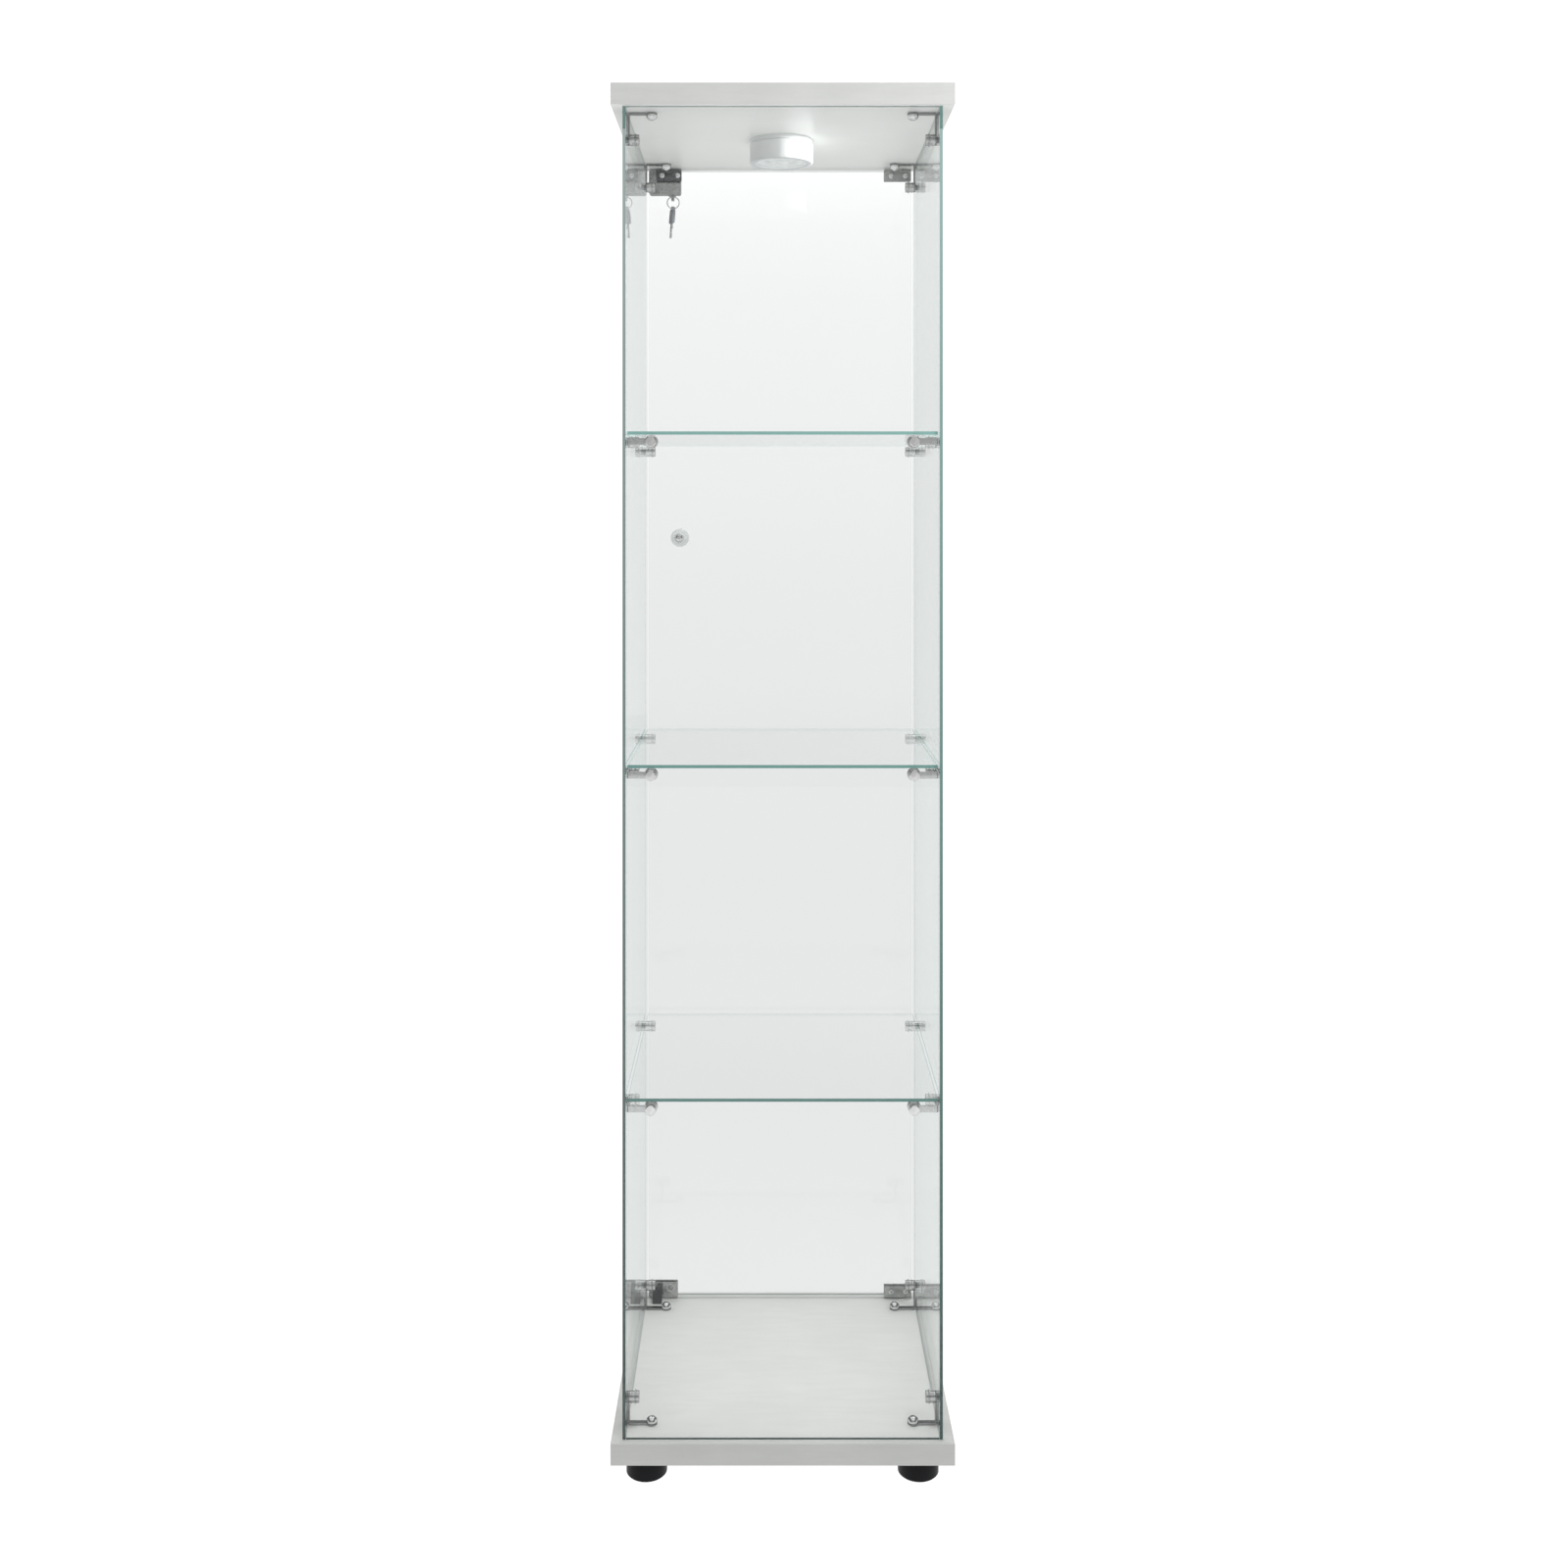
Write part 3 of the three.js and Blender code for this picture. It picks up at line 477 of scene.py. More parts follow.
def fillet(profile, steps=4):
    """Rounds the corners of an open profile. Each entry is (h, r) or (h, r, radius)."""
    pts = [Vector((p[0], p[1])) for p in profile]
    rad = [p[2] if len(p) > 2 else 0.0 for p in profile]
    out = []
    for i, p in enumerate(pts):
        if rad[i] <= 0 or i in (0, len(pts) - 1):
            out.append(p)
            continue
        a, b = pts[i - 1] - p, pts[i + 1] - p
        la, lb = a.length, b.length
        a.normalize(), b.normalize()
        half = a.angle(b) / 2
        cut = min(rad[i] / math.tan(half), la * 0.49, lb * 0.49)
        r = cut * math.tan(half)
        c = p + (a + b).normalized() * (r / math.sin(half))
        s, e = p + a * cut - c, p + b * cut - c
        turn = math.atan2(s.x * e.y - s.y * e.x, s.dot(e))
        for k in range(steps + 1):
            t = turn * k / steps
            out.append(c + Vector((s.x * math.cos(t) - s.y * math.sin(t), s.x * math.sin(t) + s.y * math.cos(t))))
    return out


def lathe(name, profile, segs=48, steps=4, closed=False, wave=None, smooth=32):
    """Revolves (height, radius) in millimetres about Z."""
    pts = fillet(profile, steps) if not closed else [Vector((p[0], p[1])) for p in profile]
    verts, rings = [], []
    for h, r in pts:
        if r < 1e-6:
            rings.append([len(verts)])
            verts.append((0, 0, h * MM))
        else:
            ring = []
            for k in range(segs):
                a = 2 * pi * k / segs
                rr = r if wave is None else wave(h, r, a)
                ring.append(len(verts))
                verts.append((rr * MM * math.cos(a), rr * MM * math.sin(a), h * MM))
            rings.append(ring)
    faces = []
    pairs = list(zip(rings, rings[1:])) + ([(rings[-1], rings[0])] if closed else [])
    for lo, hi in pairs:
        if len(lo) == 1 and len(hi) == 1:
            continue
        for k in range(segs):
            j = (k + 1) % segs
            if len(lo) == 1:
                faces.append((lo[0], hi[j], hi[k]))
            elif len(hi) == 1:
                faces.append((lo[k], lo[j], hi[0]))
            else:
                faces.append((lo[k], lo[j], hi[j], hi[k]))
    return finish_mesh(raw(name, verts, faces), smooth)


def prism(name, outline, depth, holes=(), bevel=0.3, segments=3, smooth=40):
    """An outline in (a, b) millimetres, raised along the third axis from 0 to depth."""
    loops = [list(outline), *[list(h) for h in holes]]
    flat = [Vector((a, b, 0)) for loop in loops for a, b in loop]
    tris = tessellate_polygon([[Vector((a, b, 0)) for a, b in loop] for loop in loops])
    n = len(flat)
    verts = [(v.x * MM, v.y * MM, 0) for v in flat] + [(v.x * MM, v.y * MM, depth * MM) for v in flat]
    faces = [tuple(t) for t in tris] + [tuple(i + n for i in reversed(t)) for t in tris]
    start = 0
    for loop in loops:
        k = len(loop)
        for i in range(k):
            j = (i + 1) % k
            faces.append((start + i, start + j, start + j + n, start + i + n))
        start += k
    me = raw(name, verts, faces)
    bm = bmesh.new()
    bm.from_mesh(me)
    bmesh.ops.recalc_face_normals(bm, faces=bm.faces)
    bmesh.ops.dissolve_limit(bm, angle_limit=math.radians(1), verts=bm.verts, edges=bm.edges)
    bm.to_mesh(me)
    bm.free()
    if bevel:
        return bevelled(me, bevel, segments, smooth=smooth)
    return finish_mesh(me, smooth)


def rounded_rect(x0, x1, y0, y1, r, n=6):
    out = []
    for cx, cy, a0 in ((x1 - r, y0 + r, -pi / 2), (x1 - r, y1 - r, 0), (x0 + r, y1 - r, pi / 2), (x0 + r, y0 + r, pi)):
        for k in range(n + 1):
            a = a0 + k / n * pi / 2
            out.append((cx + r * math.cos(a), cy + r * math.sin(a)))
    return out


def circle(cx, cy, r, n=40):
    return [(cx + r * math.cos(2 * pi * k / n), cy + r * math.sin(2 * pi * k / n)) for k in range(n)]


def axes(origin, x, y, z):
    m = Matrix.Identity(4)
    for i, v in enumerate((Vector(x), Vector(y), Vector(z))):
        m.col[i][:3] = v
    m.translation = Vector(origin)
    return m


def along(origin, z, x_hint=(0, 0, 1)):
    """A frame whose Z is the given direction."""
    z = Vector(z).normalized()
    x = Vector(x_hint)
    if abs(x.dot(z)) > 0.9:
        x = Vector((1, 0, 0))
    x = (x - z * x.dot(z)).normalized()
    return axes(origin, x, z.cross(x), z)


def cross_recess(r, depth):
    """The cutter for a cross-head screw: two crossed tapered bars."""
    parts = []
    for turn in (0, pi / 2):
        w0, w1, l0, l1 = r * 0.10, r * 0.15, r * 0.30, r * 0.62
        v = []
        for z, w, l in ((-depth, w0, l0), (0.6, w1, l1)):
            v += [(-l * MM, -w * MM, z * MM), (l * MM, -w * MM, z * MM), (l * MM, w * MM, z * MM), (-l * MM, w * MM, z * MM)]
        f = [(0, 3, 2, 1), (4, 5, 6, 7), (0, 1, 5, 4), (1, 2, 6, 5), (2, 3, 7, 6), (3, 0, 4, 7)]
        me = raw("cutter", v, f)
        me.transform(Matrix.Rotation(turn, 4, "Z"))
        parts.append(me)
    return parts


def pan_screw(name, head_r, head_h, shank_r, shank_len, recess=True):
    """Head on z = 0 rising to +Z, shank below."""
    me = lathe(name, [(-shank_len, 0), (-shank_len, shank_r * 0.5, 0.2), (-shank_len + 1.5, shank_r), (0, shank_r), (0, head_r, 0.25),
                      (head_h * 0.42, head_r, 0.35), (head_h * 0.8, head_r * 0.72, 1.2), (head_h, head_r * 0.3, 0.8), (head_h, 0)], 40)
    if recess:
        cut = [c for c in cross_recess(head_r, head_h * 0.62)]
        for c in cut:
            c.transform(Matrix.Translation((0, 0, head_h * MM)))
        me = boolean(me, cut, "DIFFERENCE")
    return finish_mesh(me, 30)


# ------------------------------------------------------------------ boards, panes and shelves: the CAD solids, finished


def clearance(ob, inset):
    """Moves the outer faces in by inset metres. It goes by position alone, so faces that meet stay joined."""
    co = [v.co for v in ob.data.vertices]
    ng = bpy.data.node_groups.new("clearance_" + ob.name, "GeometryNodeTree")
    ng.interface.new_socket("Geometry", in_out="INPUT", socket_type="NodeSocketGeometry")
    ng.interface.new_socket("Geometry", in_out="OUTPUT", socket_type="NodeSocketGeometry")
    add = lambda kind: ng.nodes.new(kind)
    start, end, move = add("NodeGroupInput"), add("NodeGroupOutput"), add("GeometryNodeSetPosition")
    pos, parts, offset = add("GeometryNodeInputPosition"), add("ShaderNodeSeparateXYZ"), add("ShaderNodeCombineXYZ")
    ng.links.new(pos.outputs[0], parts.inputs[0])
    for k in range(3):
        steps = []
        for op, limit in (("LESS_THAN", min(c[k] for c in co) + 1e-5), ("GREATER_THAN", max(c[k] for c in co) - 1e-5)):
            m = add("ShaderNodeMath")
            m.operation = op
            m.inputs[1].default_value = limit
            ng.links.new(parts.outputs[k], m.inputs[0])
            steps.append(m)
        side, scale = add("ShaderNodeMath"), add("ShaderNodeMath")
        side.operation, scale.operation = "SUBTRACT", "MULTIPLY"
        scale.inputs[1].default_value = inset
        ng.links.new(steps[0].outputs[0], side.inputs[0])
        ng.links.new(steps[1].outputs[0], side.inputs[1])
        ng.links.new(side.outputs[0], scale.inputs[0])
        ng.links.new(scale.outputs[0], offset.inputs[k])
    ng.links.new(start.outputs[0], move.inputs["Geometry"])
    ng.links.new(offset.outputs[0], move.inputs["Offset"])
    ng.links.new(move.outputs[0], end.inputs[0])
    ob.modifiers.new("clearance", "NODES").node_group = ng


def dress(node, mat, bevel=0.0, segments=2, angle=40, inset=0.0):
    ob = NODES[node]
    ob.data.materials.clear() if not ob.material_slots else None
    if ob.material_slots:
        for s in ob.material_slots:
            s.link = "OBJECT"
            s.material = mat
    else:
        ob.data.materials.append(mat)
    if inset:
        clearance(ob, inset * MM)
    if bevel:
        b = ob.modifiers.new("edge", "BEVEL")
        b.width = bevel * MM
        b.segments = segments
        b.limit_method = "ANGLE"
        b.angle_limit = math.radians(angle)
        b.harden_normals = False
    return ob


for n in ("top_board", "base_board"):
    dress(n, LAMINATE, 0.9, 3)
for n in ("side_glass_left", "side_glass_right"):
    dress(n, GLASS["X"], inset=0.2)
dress("fixed_glass", GLASS["Y"], inset=0.2)
dress("door_glass", GLASS["D"], inset=0.2)
for n in ("shelf_upper", "shelf_middle", "shelf_lower"):
    dress(n, GLASS["Z"], inset=0.1)

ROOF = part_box("top_board")[0].z
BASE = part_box("base_board")[1].z
INNER_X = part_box("side_glass_right")[0].x
INNER_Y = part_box("fixed_glass")[1].y
FAR_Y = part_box("door_glass")[1].y
DOOR_Y0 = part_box("door_glass")[0].y
SIDES = (("left", -1), ("right", 1))

# ------------------------------------------------------------------ feet

foot_mesh = lathe("foot", [(1.2, 0), (1.2, 9.0), (0.0, 10.2, 0.4), (0.0, 22.2, 0.8), (1.8, 24.0, 1.0), (20.6, 24.0, 0.3), (21.0, 23.6, 0.2), (21.6, 23.6, 0.2),
                           (22.0, 24.0, 0.3), (23.8, 24.0, 0.2), (23.9, 24.8, 0.25), (25.0, 24.8), (25.0, 0)], 72)
for end in ("near", "door"):
    for side, sx in SIDES:
        node = f"foot_{end}_{side}"
        lo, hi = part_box(node)
        place(node + "_body", foot_mesh, FOOT, "cabinet", Matrix.Translation(((lo.x + hi.x) / 2, (lo.y + hi.y) / 2, lo.z)), node)

# ------------------------------------------------------------------ glass fittings


def strap_sheet(name, lu, lv, t=2.0, hw=4.0, ro=2.8, eye=6.5):
    """A bent strap in (u, w, v): the u arm lies on v = 0, the v arm on u = 0, with a round eye at each end."""
    b = 0.35
    sect = []
    for cw, ch, a0 in ((hw - b, b, -pi / 2), (hw - b, t - b, 0), (-hw + b, t - b, pi / 2), (-hw + b, b, pi)):
        for k in range(4):
            a = a0 + k / 3 * pi / 2
            sect.append((cw + b * math.cos(a), ch + b * math.sin(a)))
    rows = []
    for u in (lu, lu * 0.66, lu * 0.33, ro):
        rows.append([(u, w, h) for w, h in sect])
    for k in range(1, 8):
        a = k / 8 * pi / 2
        rows.append([(ro - (ro - h) * math.sin(a), w, ro - (ro - h) * math.cos(a)) for w, h in sect])
    for v in (ro, lv * 0.33, lv * 0.66, lv):
        rows.append([(h, w, v) for w, h in sect])
    verts = [tuple(c * MM for c in p) for row in rows for p in row]
    m = len(sect)
    faces = []
    for i in range(len(rows) - 1):
        for k in range(m):
            j = (k + 1) % m
            faces.append((i * m + k, i * m + j, (i + 1) * m + j, (i + 1) * m + k))
    faces.append(tuple(reversed(range(m))))
    faces.append(tuple(range((len(rows) - 1) * m, len(rows) * m)))
    sheet = finish_mesh(raw(name, verts, faces), 30)
    disc = lathe("eye", [(0.01, 0), (0.01, eye, b), (t - 0.01, eye, b), (t - 0.01, 0)], 48)
    flat = disc.copy()
    flat.transform(Matrix.Translation((lu * MM, 0, 0)))
    up = disc.copy()
    up.transform(Matrix.Translation((0, 0, lv * MM)) @ Matrix.Rotation(pi / 2, 4, "Y"))
    return finish_mesh(boolean(sheet, [flat, up], "UNION"), 30)


def bolt_parts(seat):
    """A glass bolt along +Z: low head outside, sleeve and cap inside, with a rubber ring between them."""
    metal = lathe("bolt", [(-5.8, 0), (-5.8, 5.6, 0.5), (-5.3, 6.3, 0.5), (-4.0, 6.3, 0.2), (-4.0, 3.0), (seat, 3.0), (seat, 6.5, 0.25),
                           (8.3, 6.5, 0.3), (8.3, 5.6), (9.5, 5.6), (9.5, 6.6, 0.2), (10.0, 6.7, 0.2), (12.9, 6.7, 0.6), (13.3, 5.9, 0.5), (13.3, 2.2, 0.3), (12.7, 1.6, 0.3), (12.7, 0)], 48, 3)
    ring = lathe("ring", [(8.34, 5.65), (8.34, 7.55), (8.55, 7.88), (8.9, 7.95), (9.25, 7.88), (9.46, 7.55), (9.46, 5.65)], 48, closed=True)
    # a thinner rubber ring sits in a groove of the sleeve
    groove = 3.9
    band = lathe("band", [(groove, 6.52), (groove, 6.95), (groove + 0.2, 7.12), (groove + 0.5, 7.18), (groove + 0.8, 7.12), (groove + 1.0, 6.95), (groove + 1.0, 6.52)], 48, closed=True)
    metal.materials.append(NICKEL)
    metal.materials.append(RUBBER)
    for me in (ring, band):
        for p in me.polygons:
            p.material_index = 1
    return joined([(metal, None), (ring, None), (band, None)])


def bolt_mesh(seat, metal):
    me = bolt_parts(seat)
    me.materials.clear()
    me.materials.append(metal)
    me.materials.append(RUBBER)
    return me


bolt_on_strap = bolt_mesh(2.02, NICKEL)
# bolts in the lit copy of the nickel: painted light
lit_bolt_on_strap = bolt_mesh(2.02, LIT_NICKEL)
lit_bolt_on_glass = bolt_mesh(0.0, LIT_NICKEL)
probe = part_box("glass_bolt_bottom_near_left")
bolt_up = (probe[0].z + probe[1].z) / 2 - BASE
board_strap = strap_sheet("board_strap", 28.0, bolt_up / MM)
dome = [(-12.0, 0), (-12.0, 1.0, 0.2), (-10.5, 2.0), (0.0, 2.0), (0.0, 6.0, 0.25), (0.6, 6.3, 0.3)]
dome += [(1.6 + 5.4 * math.sin(a), 6.6 * math.cos(a)) for a in [k / 14 * 1.40 for k in range(15)]] + [(7.0, 0.0)]
board_screw = lathe("board_screw", dome, 56)
cutters = cross_recess(5.2, 1.5)
for c in cutters:
    c.transform(Matrix.Translation((0, 0, 6.95 * MM)))
board_screw = finish_mesh(boolean(board_screw, cutters, "DIFFERENCE"), 30)

for level, z, up in (("top", ROOF, -1), ("bottom", BASE, 1)):
    for end in ("near", "door"):
        for side, sx in SIDES:
            tag = f"{level}_{end}_{side}"
            lo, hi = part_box("glass_bolt_" + tag)
            y = (lo.y + hi.y) / 2
            u, v = Vector((-sx, 0, 0)), Vector((0, 0, up))
            at = axes((sx * INNER_X, y, z), u, v.cross(u), v)
            # strap in the darker copy of the nickel: painted shade
            place("bracket_" + tag + "_strap", board_strap, STRAP, "cabinet", at, "bracket_" + tag)
            turn = {"near": 0.35, "door": 1.1}[end] + (0.5 if sx > 0 else 0)
            screw_at = axes((sx * (INNER_X - 0.028), y, z + up * 0.002), u, v.cross(u), v) @ Matrix.Rotation(turn, 4, "Z")
            place("board_screw_" + tag, board_screw, STEEL, "cabinet", screw_at, "bracket_" + tag)
            bolt_at = along((sx * INNER_X, y, (lo.z + hi.z) / 2), u)
            place("glass_bolt_" + tag + "_body", bolt_on_strap, NICKEL, "cabinet", bolt_at, "glass_bolt_" + tag)

pin_y = sum(b.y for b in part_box("shelf_pin_lower_left")) / 2
near_y = sum(b.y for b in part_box("glass_bolt_bottom_near_left")) / 2
CORNER_U = 29.0
CORNER_V = (near_y - INNER_Y) / MM
corner_strap = strap_sheet("corner_strap", CORNER_U, CORNER_V)
for level in ("lower", "middle", "upper"):
    for side, sx in SIDES:
        tag = f"{level}_{side}"
        lo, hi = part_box("corner_bracket_" + tag)
        z = (lo.z + hi.z) / 2
        u, v = Vector((-sx, 0, 0)), Vector((0, 1, 0))
        at = axes((sx * INNER_X, INNER_Y, z), u, v.cross(u), v)
        node = "corner_bracket_" + tag
        # corner fittings in the lit copies of the nickel: painted light
        place(node + "_strap", corner_strap, LIT_STRAP, "cabinet", at, node)
        place(node + "_side_bolt", lit_bolt_on_strap, LIT_NICKEL, "cabinet", along((sx * INNER_X, near_y, z), u), node)
        place(node + "_pane_bolt", lit_bolt_on_strap, LIT_NICKEL, "cabinet", along((sx * (INNER_X - CORNER_U * MM), INNER_Y, z), v), node)
        place(f"shelf_pin_{tag}_body", lit_bolt_on_glass, LIT_NICKEL, "cabinet", along((sx * INNER_X, pin_y, z), u), f"shelf_pin_{tag}")

# ------------------------------------------------------------------ lamp

lamp_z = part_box("lamp_housing")[0].z / MM
roof_mm = ROOF / MM
at = Matrix.Translation((0, MID_Y, 0))
place("lamp_mount_plate_body", lathe("lamp_plate", [(roof_mm - 5.6, 0), (roof_mm - 5.6, 39.5, 0.4), (roof_mm - 0.02, 39.5, 0.2), (roof_mm - 0.02, 0)], 96),
      LAMP, "cabinet", at, "lamp_mount_plate")
place("lamp_housing_shell", lathe("lamp_shell", [
    (lamp_z, 33.3), (lamp_z, 38.6), (lamp_z + 0.2, 39.2), (lamp_z + 0.6, 39.7), (lamp_z + 1.3, 40.0), (roof_mm - 6.6, 40.0), (roof_mm - 6.15, 39.85), (roof_mm - 6.0, 39.4), (roof_mm - 6.0, 37.6),
    (lamp_z + 1.6, 37.6), (lamp_z + 1.6, 33.3)], 96, closed=True), LAMP, "cabinet", at, "lamp_housing")
ridge = [(lamp_z + 3.9, 0), (lamp_z + 3.9, 36.8), (lamp_z + 1.9, 36.8), (lamp_z + 1.9, 32.8), (lamp_z + 0.5, 32.8), (lamp_z + 0.5, 31.2)]
r = 30.4
while r > 1.2:
    ridge += [(lamp_z + 1.1, r + 0.15), (lamp_z + 0.55, r - 0.7)]
    r -= 2.1
ridge.append((lamp_z + 0.8, 0))
place("lamp_lens_disc", lathe("lens", ridge, 96, smooth=20), LENS, "cabinet", at, "lamp_lens")
led_lo, led_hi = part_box("lamp_led_board")
place("lamp_led_board_disc", lathe("led_disc", [(led_lo.z / MM, 0), (led_lo.z / MM, 36.8, 0.2), (led_hi.z / MM, 36.8, 0.2), (led_hi.z / MM, 0)], 64), PCB, "cabinet", at, "lamp_led_board")
chip = lathe("chip", [(-1.3, 0), (-1.3, 1.5, 0.3), (-0.9, 2.3, 0.2), (0, 2.3), (0, 0)], 20)
cup = lathe("cup", [(0.0, 3.0), (-5.6, 6.4), (-5.6, 6.9), (0.0, 3.6)], 32, closed=True)
cup.materials.append(STEEL)
chips, cups = [], []
for k, (rad, count) in enumerate(((0.0, 1), (13.5, 6), (26.5, 12))):
    for j in range(count):
        a = 2 * pi * j / count + 0.3 * k
        mx = Matrix.Translation((rad * MM * math.cos(a), rad * MM * math.sin(a), led_lo.z))
        chips.append((chip, mx))
        cups.append((cup, mx))
place("lamp_led_chips", joined(chips), LED, "cabinet", at, ())
place("lamp_led_cups", joined(cups), STEEL, "cabinet", at, ())

# ------------------------------------------------------------------ door hardware

DOOR_Z0, DOOR_Z1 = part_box("door_glass")[0].z / MM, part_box("door_glass")[1].z / MM
y0, y1 = DOOR_Y0 / MM, FAR_Y / MM


def channel(node, edge_z, out, leg, web, tall, corner=0.9):
    """The outline in (y, z) of a U channel over the door's edge."""
    w1 = edge_z + out * (0.3 + web)
    tip = w1 - out * tall
    yi, yo = y0 - 0.3, y1 + 0.3
    pts = [(yi - leg, tip), (yi, tip), (yi, edge_z + out * 0.3), (yo, edge_z + out * 0.3), (yo, tip), (yo + leg, tip), (yo + leg, w1 - out * corner), (yo + leg - corner, w1), (yi - leg + corner, w1), (yi - leg, w1 - out * corner)]
    return pts if out > 0 else list(reversed(pts))


def extrude_x(name, outline_yz, x0, x1, bevel=0.35):
    me = prism(name, outline_yz, x1 - x0, bevel=bevel)
    me.transform(Matrix(((0, 0, 1, x0 * MM), (1, 0, 0, 0), (0, 1, 0, 0), (0, 0, 0, 1))))
    return me


def extrude_y(name, outline_xz, ya, yb, bevel=0.35, holes=()):
    """An outline in (x, z), raised along Y from ya to yb."""
    me = prism(name, [(x, z) for x, z in outline_xz], yb - ya, holes=holes, bevel=bevel)
    me.transform(Matrix(((1, 0, 0, 0), (0, 0, 1, ya * MM), (0, 1, 0, 0), (0, 0, 0, 1))))
    return finish_mesh(me, 40)


clamp_screw = pan_screw("clamp_screw", 3.4, 1.2, 1.6, 1.5)
lo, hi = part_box("hinge_clamp_lower")
CLAMP_TALL = hi.z / MM - (DOOR_Z0 - 2.3)
for node, edge, out in (("hinge_clamp_upper", DOOR_Z1, 1), ("hinge_clamp_lower", DOOR_Z0, -1)):
    lo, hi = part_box(node)
    body = extrude_x(node, channel(node, edge, out, 2.3, 2.0, CLAMP_TALL), lo.x / MM, hi.x / MM, 0.4)
    place(node + "_channel", body, BRUSHED_X, "door", None, node)
    w1 = edge + out * 2.3
    pin = lathe(node + "_pin", [(0, 0), (0, 4.2, 0.3), (0.35, 4.2, 0.1), (0.35, 2.5), (9.6, 2.5, 0.3), (10.2, 1.9, 0.2), (10.2, 0)], 40)
    pin_at = along((0.175, (DOOR_Y0 + FAR_Y) / 2, w1 * MM), (0, 0, out))
    place(node + "_pivot_pin", pin, STEEL, "door", pin_at, node)
    zc = (edge + (w1 - out * CLAMP_TALL)) / 2
    for k, x in enumerate((152.5, 172.0)):
        place(f"{node}_screw_{k + 1}", clamp_screw, STEEL, "door", along((x * MM, (y0 - 2.6) * MM, zc * MM), (0, -1, 0)) @ Matrix.Rotation(0.6 + k, 4, "Z"), node)
    # soft liner between the jaws and the glass
    lx0, lx1 = lo.x / MM + 0.6, hi.x / MM - 0.6
    za, zb = sorted((edge - out * 0.2, w1 - out * (CLAMP_TALL - 0.6)))
    for tag, ya, yb in (("inner", y0 - 0.28, y0 - 0.02), ("outer", y1 + 0.02, y1 + 0.28)):
        liner = extrude_y(f"{node}_liner_{tag}", rounded_rect(lx0, lx1, za, zb, 0.5, 3), ya, yb, 0.05)
        place(f"{node}_liner_{tag}", liner, GASKET, "door", None, ())

for node, board, into in (("pivot_bush_upper", roof_mm, 1), ("pivot_bush_lower", BASE / MM, -1)):
    f, s = -1.3, 12.0
    bush = lathe(node, [(f, 2.62), (f, 6.6), (f + 0.4, 7.0), (-0.02, 7.0), (-0.02, 5.0), (s, 5.0), (s, 2.62)], 48, closed=True)
    place(node + "_sleeve", bush, BUSH, "cabinet", along((0.175, (DOOR_Y0 + FAR_Y) / 2, board * MM), (0, 0, into)), node)

# knob
knob_lo, knob_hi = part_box("door_knob")
kx, kz = (knob_lo.x + knob_hi.x) / 2, (knob_lo.z + knob_hi.z) / 2
knob = lathe("knob", [(0.02, 0), (0.02, 6.5, 0.5), (1.4, 6.5, 0.6), (1.9, 5.5, 0.6), (7.5, 5.5, 2.0), (10.6, 11.4, 1.2), (12.6, 12.5, 0.8), (13.6, 12.5, 0.15), (13.9, 12.2, 0.1), (14.2, 12.2, 0.1), (14.5, 12.5, 0.15),
                      (18.6, 12.5, 1.4), (20.6, 10.6, 0.9), (20.8, 9.4, 0.4), (20.1, 8.2, 0.5), (19.7, 0)], 96)
place("door_knob_turned", knob, ACRYLIC, "door", along((kx, FAR_Y, kz), (0, 1, 0)), "door_knob")
washer = lathe("knob_washer", [(0.02, 2.2), (0.02, 5.4), (0.75, 5.4), (0.95, 5.15), (0.95, 2.2)], 56, closed=True)
place("knob_washer", washer, STEEL, "door", along((kx, DOOR_Y0, kz), (0, -1, 0)), "knob_screw")
knob_screw = pan_screw("knob_screw_body", 4.3, 1.65, 2.0, 16.4)
place("knob_screw_body", knob_screw, STEEL, "door", along((kx, DOOR_Y0 - 0.00095, kz), (0, -1, 0)) @ Matrix.Rotation(0.4, 4, "Z"), "knob_screw")

# catch: clip on the door's corner, block on the base board
lo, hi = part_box("catch_plate")
clip = extrude_x("catch_clip", channel("catch_plate", DOOR_Z0, -1, 1.6, 2.0, hi.z / MM - (DOOR_Z0 - 2.3), 0.6), lo.x / MM, hi.x / MM, 0.35)
place("catch_plate_clip", clip, BRUSHED_X, "door", None, "catch_plate")
striker = lathe("striker", [(0.0, 0), (0.0, 5.4, 0.3), (0.9, 5.4, 0.3), (0.9, 4.3, 0.2), (0.35, 3.9, 0.2), (0.35, 0)], 48)
place("catch_striker", striker, STEEL, "door", along((-0.1515, (y0 - 1.9) * MM, 0.0656), (0, -1, 0)), "catch_plate")
dress("catch_block", BLACK, 0.8, 3, 40)

# lock
dress("lock_case", BRUSHED_X, 0.5, 3, 40)
lo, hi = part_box("lock_clamp_plate")
jaw = extrude_y("lock_jaw", rounded_rect(lo.x / MM, hi.x / MM, lo.z / MM, hi.z / MM, 0.8, 4), lo.y / MM + 1.1, y0 - 0.3, 0.35)
place("lock_clamp_jaw", jaw, JAW, "door", None, "lock_clamp_plate")
bridge = extrude_x("lock_bridge", rounded_rect(y0 - 0.6, y1 - 0.02, DOOR_Z1 + 0.3, hi.z / MM - 0.05, 0.3, 3), lo.x / MM + 0.4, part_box("lock_case")[1].x / MM - 0.4, 0.15)
place("lock_clamp_bridge", bridge, BRUSHED_X, "door", None, "lock_clamp_plate")
for k, x in enumerate((-162.4, -140.8)):
    place(f"lock_clamp_screw_{k + 1}", clamp_screw, STEEL, "door", along((x * MM, (y0 - 2.6) * MM, 1.595), (0, -1, 0)) @ Matrix.Rotation(0.3 + 0.9 * k, 4, "Z"), "lock_clamp_plate")
dress("lock_bolt", STEEL, 0.5, 3, 40)

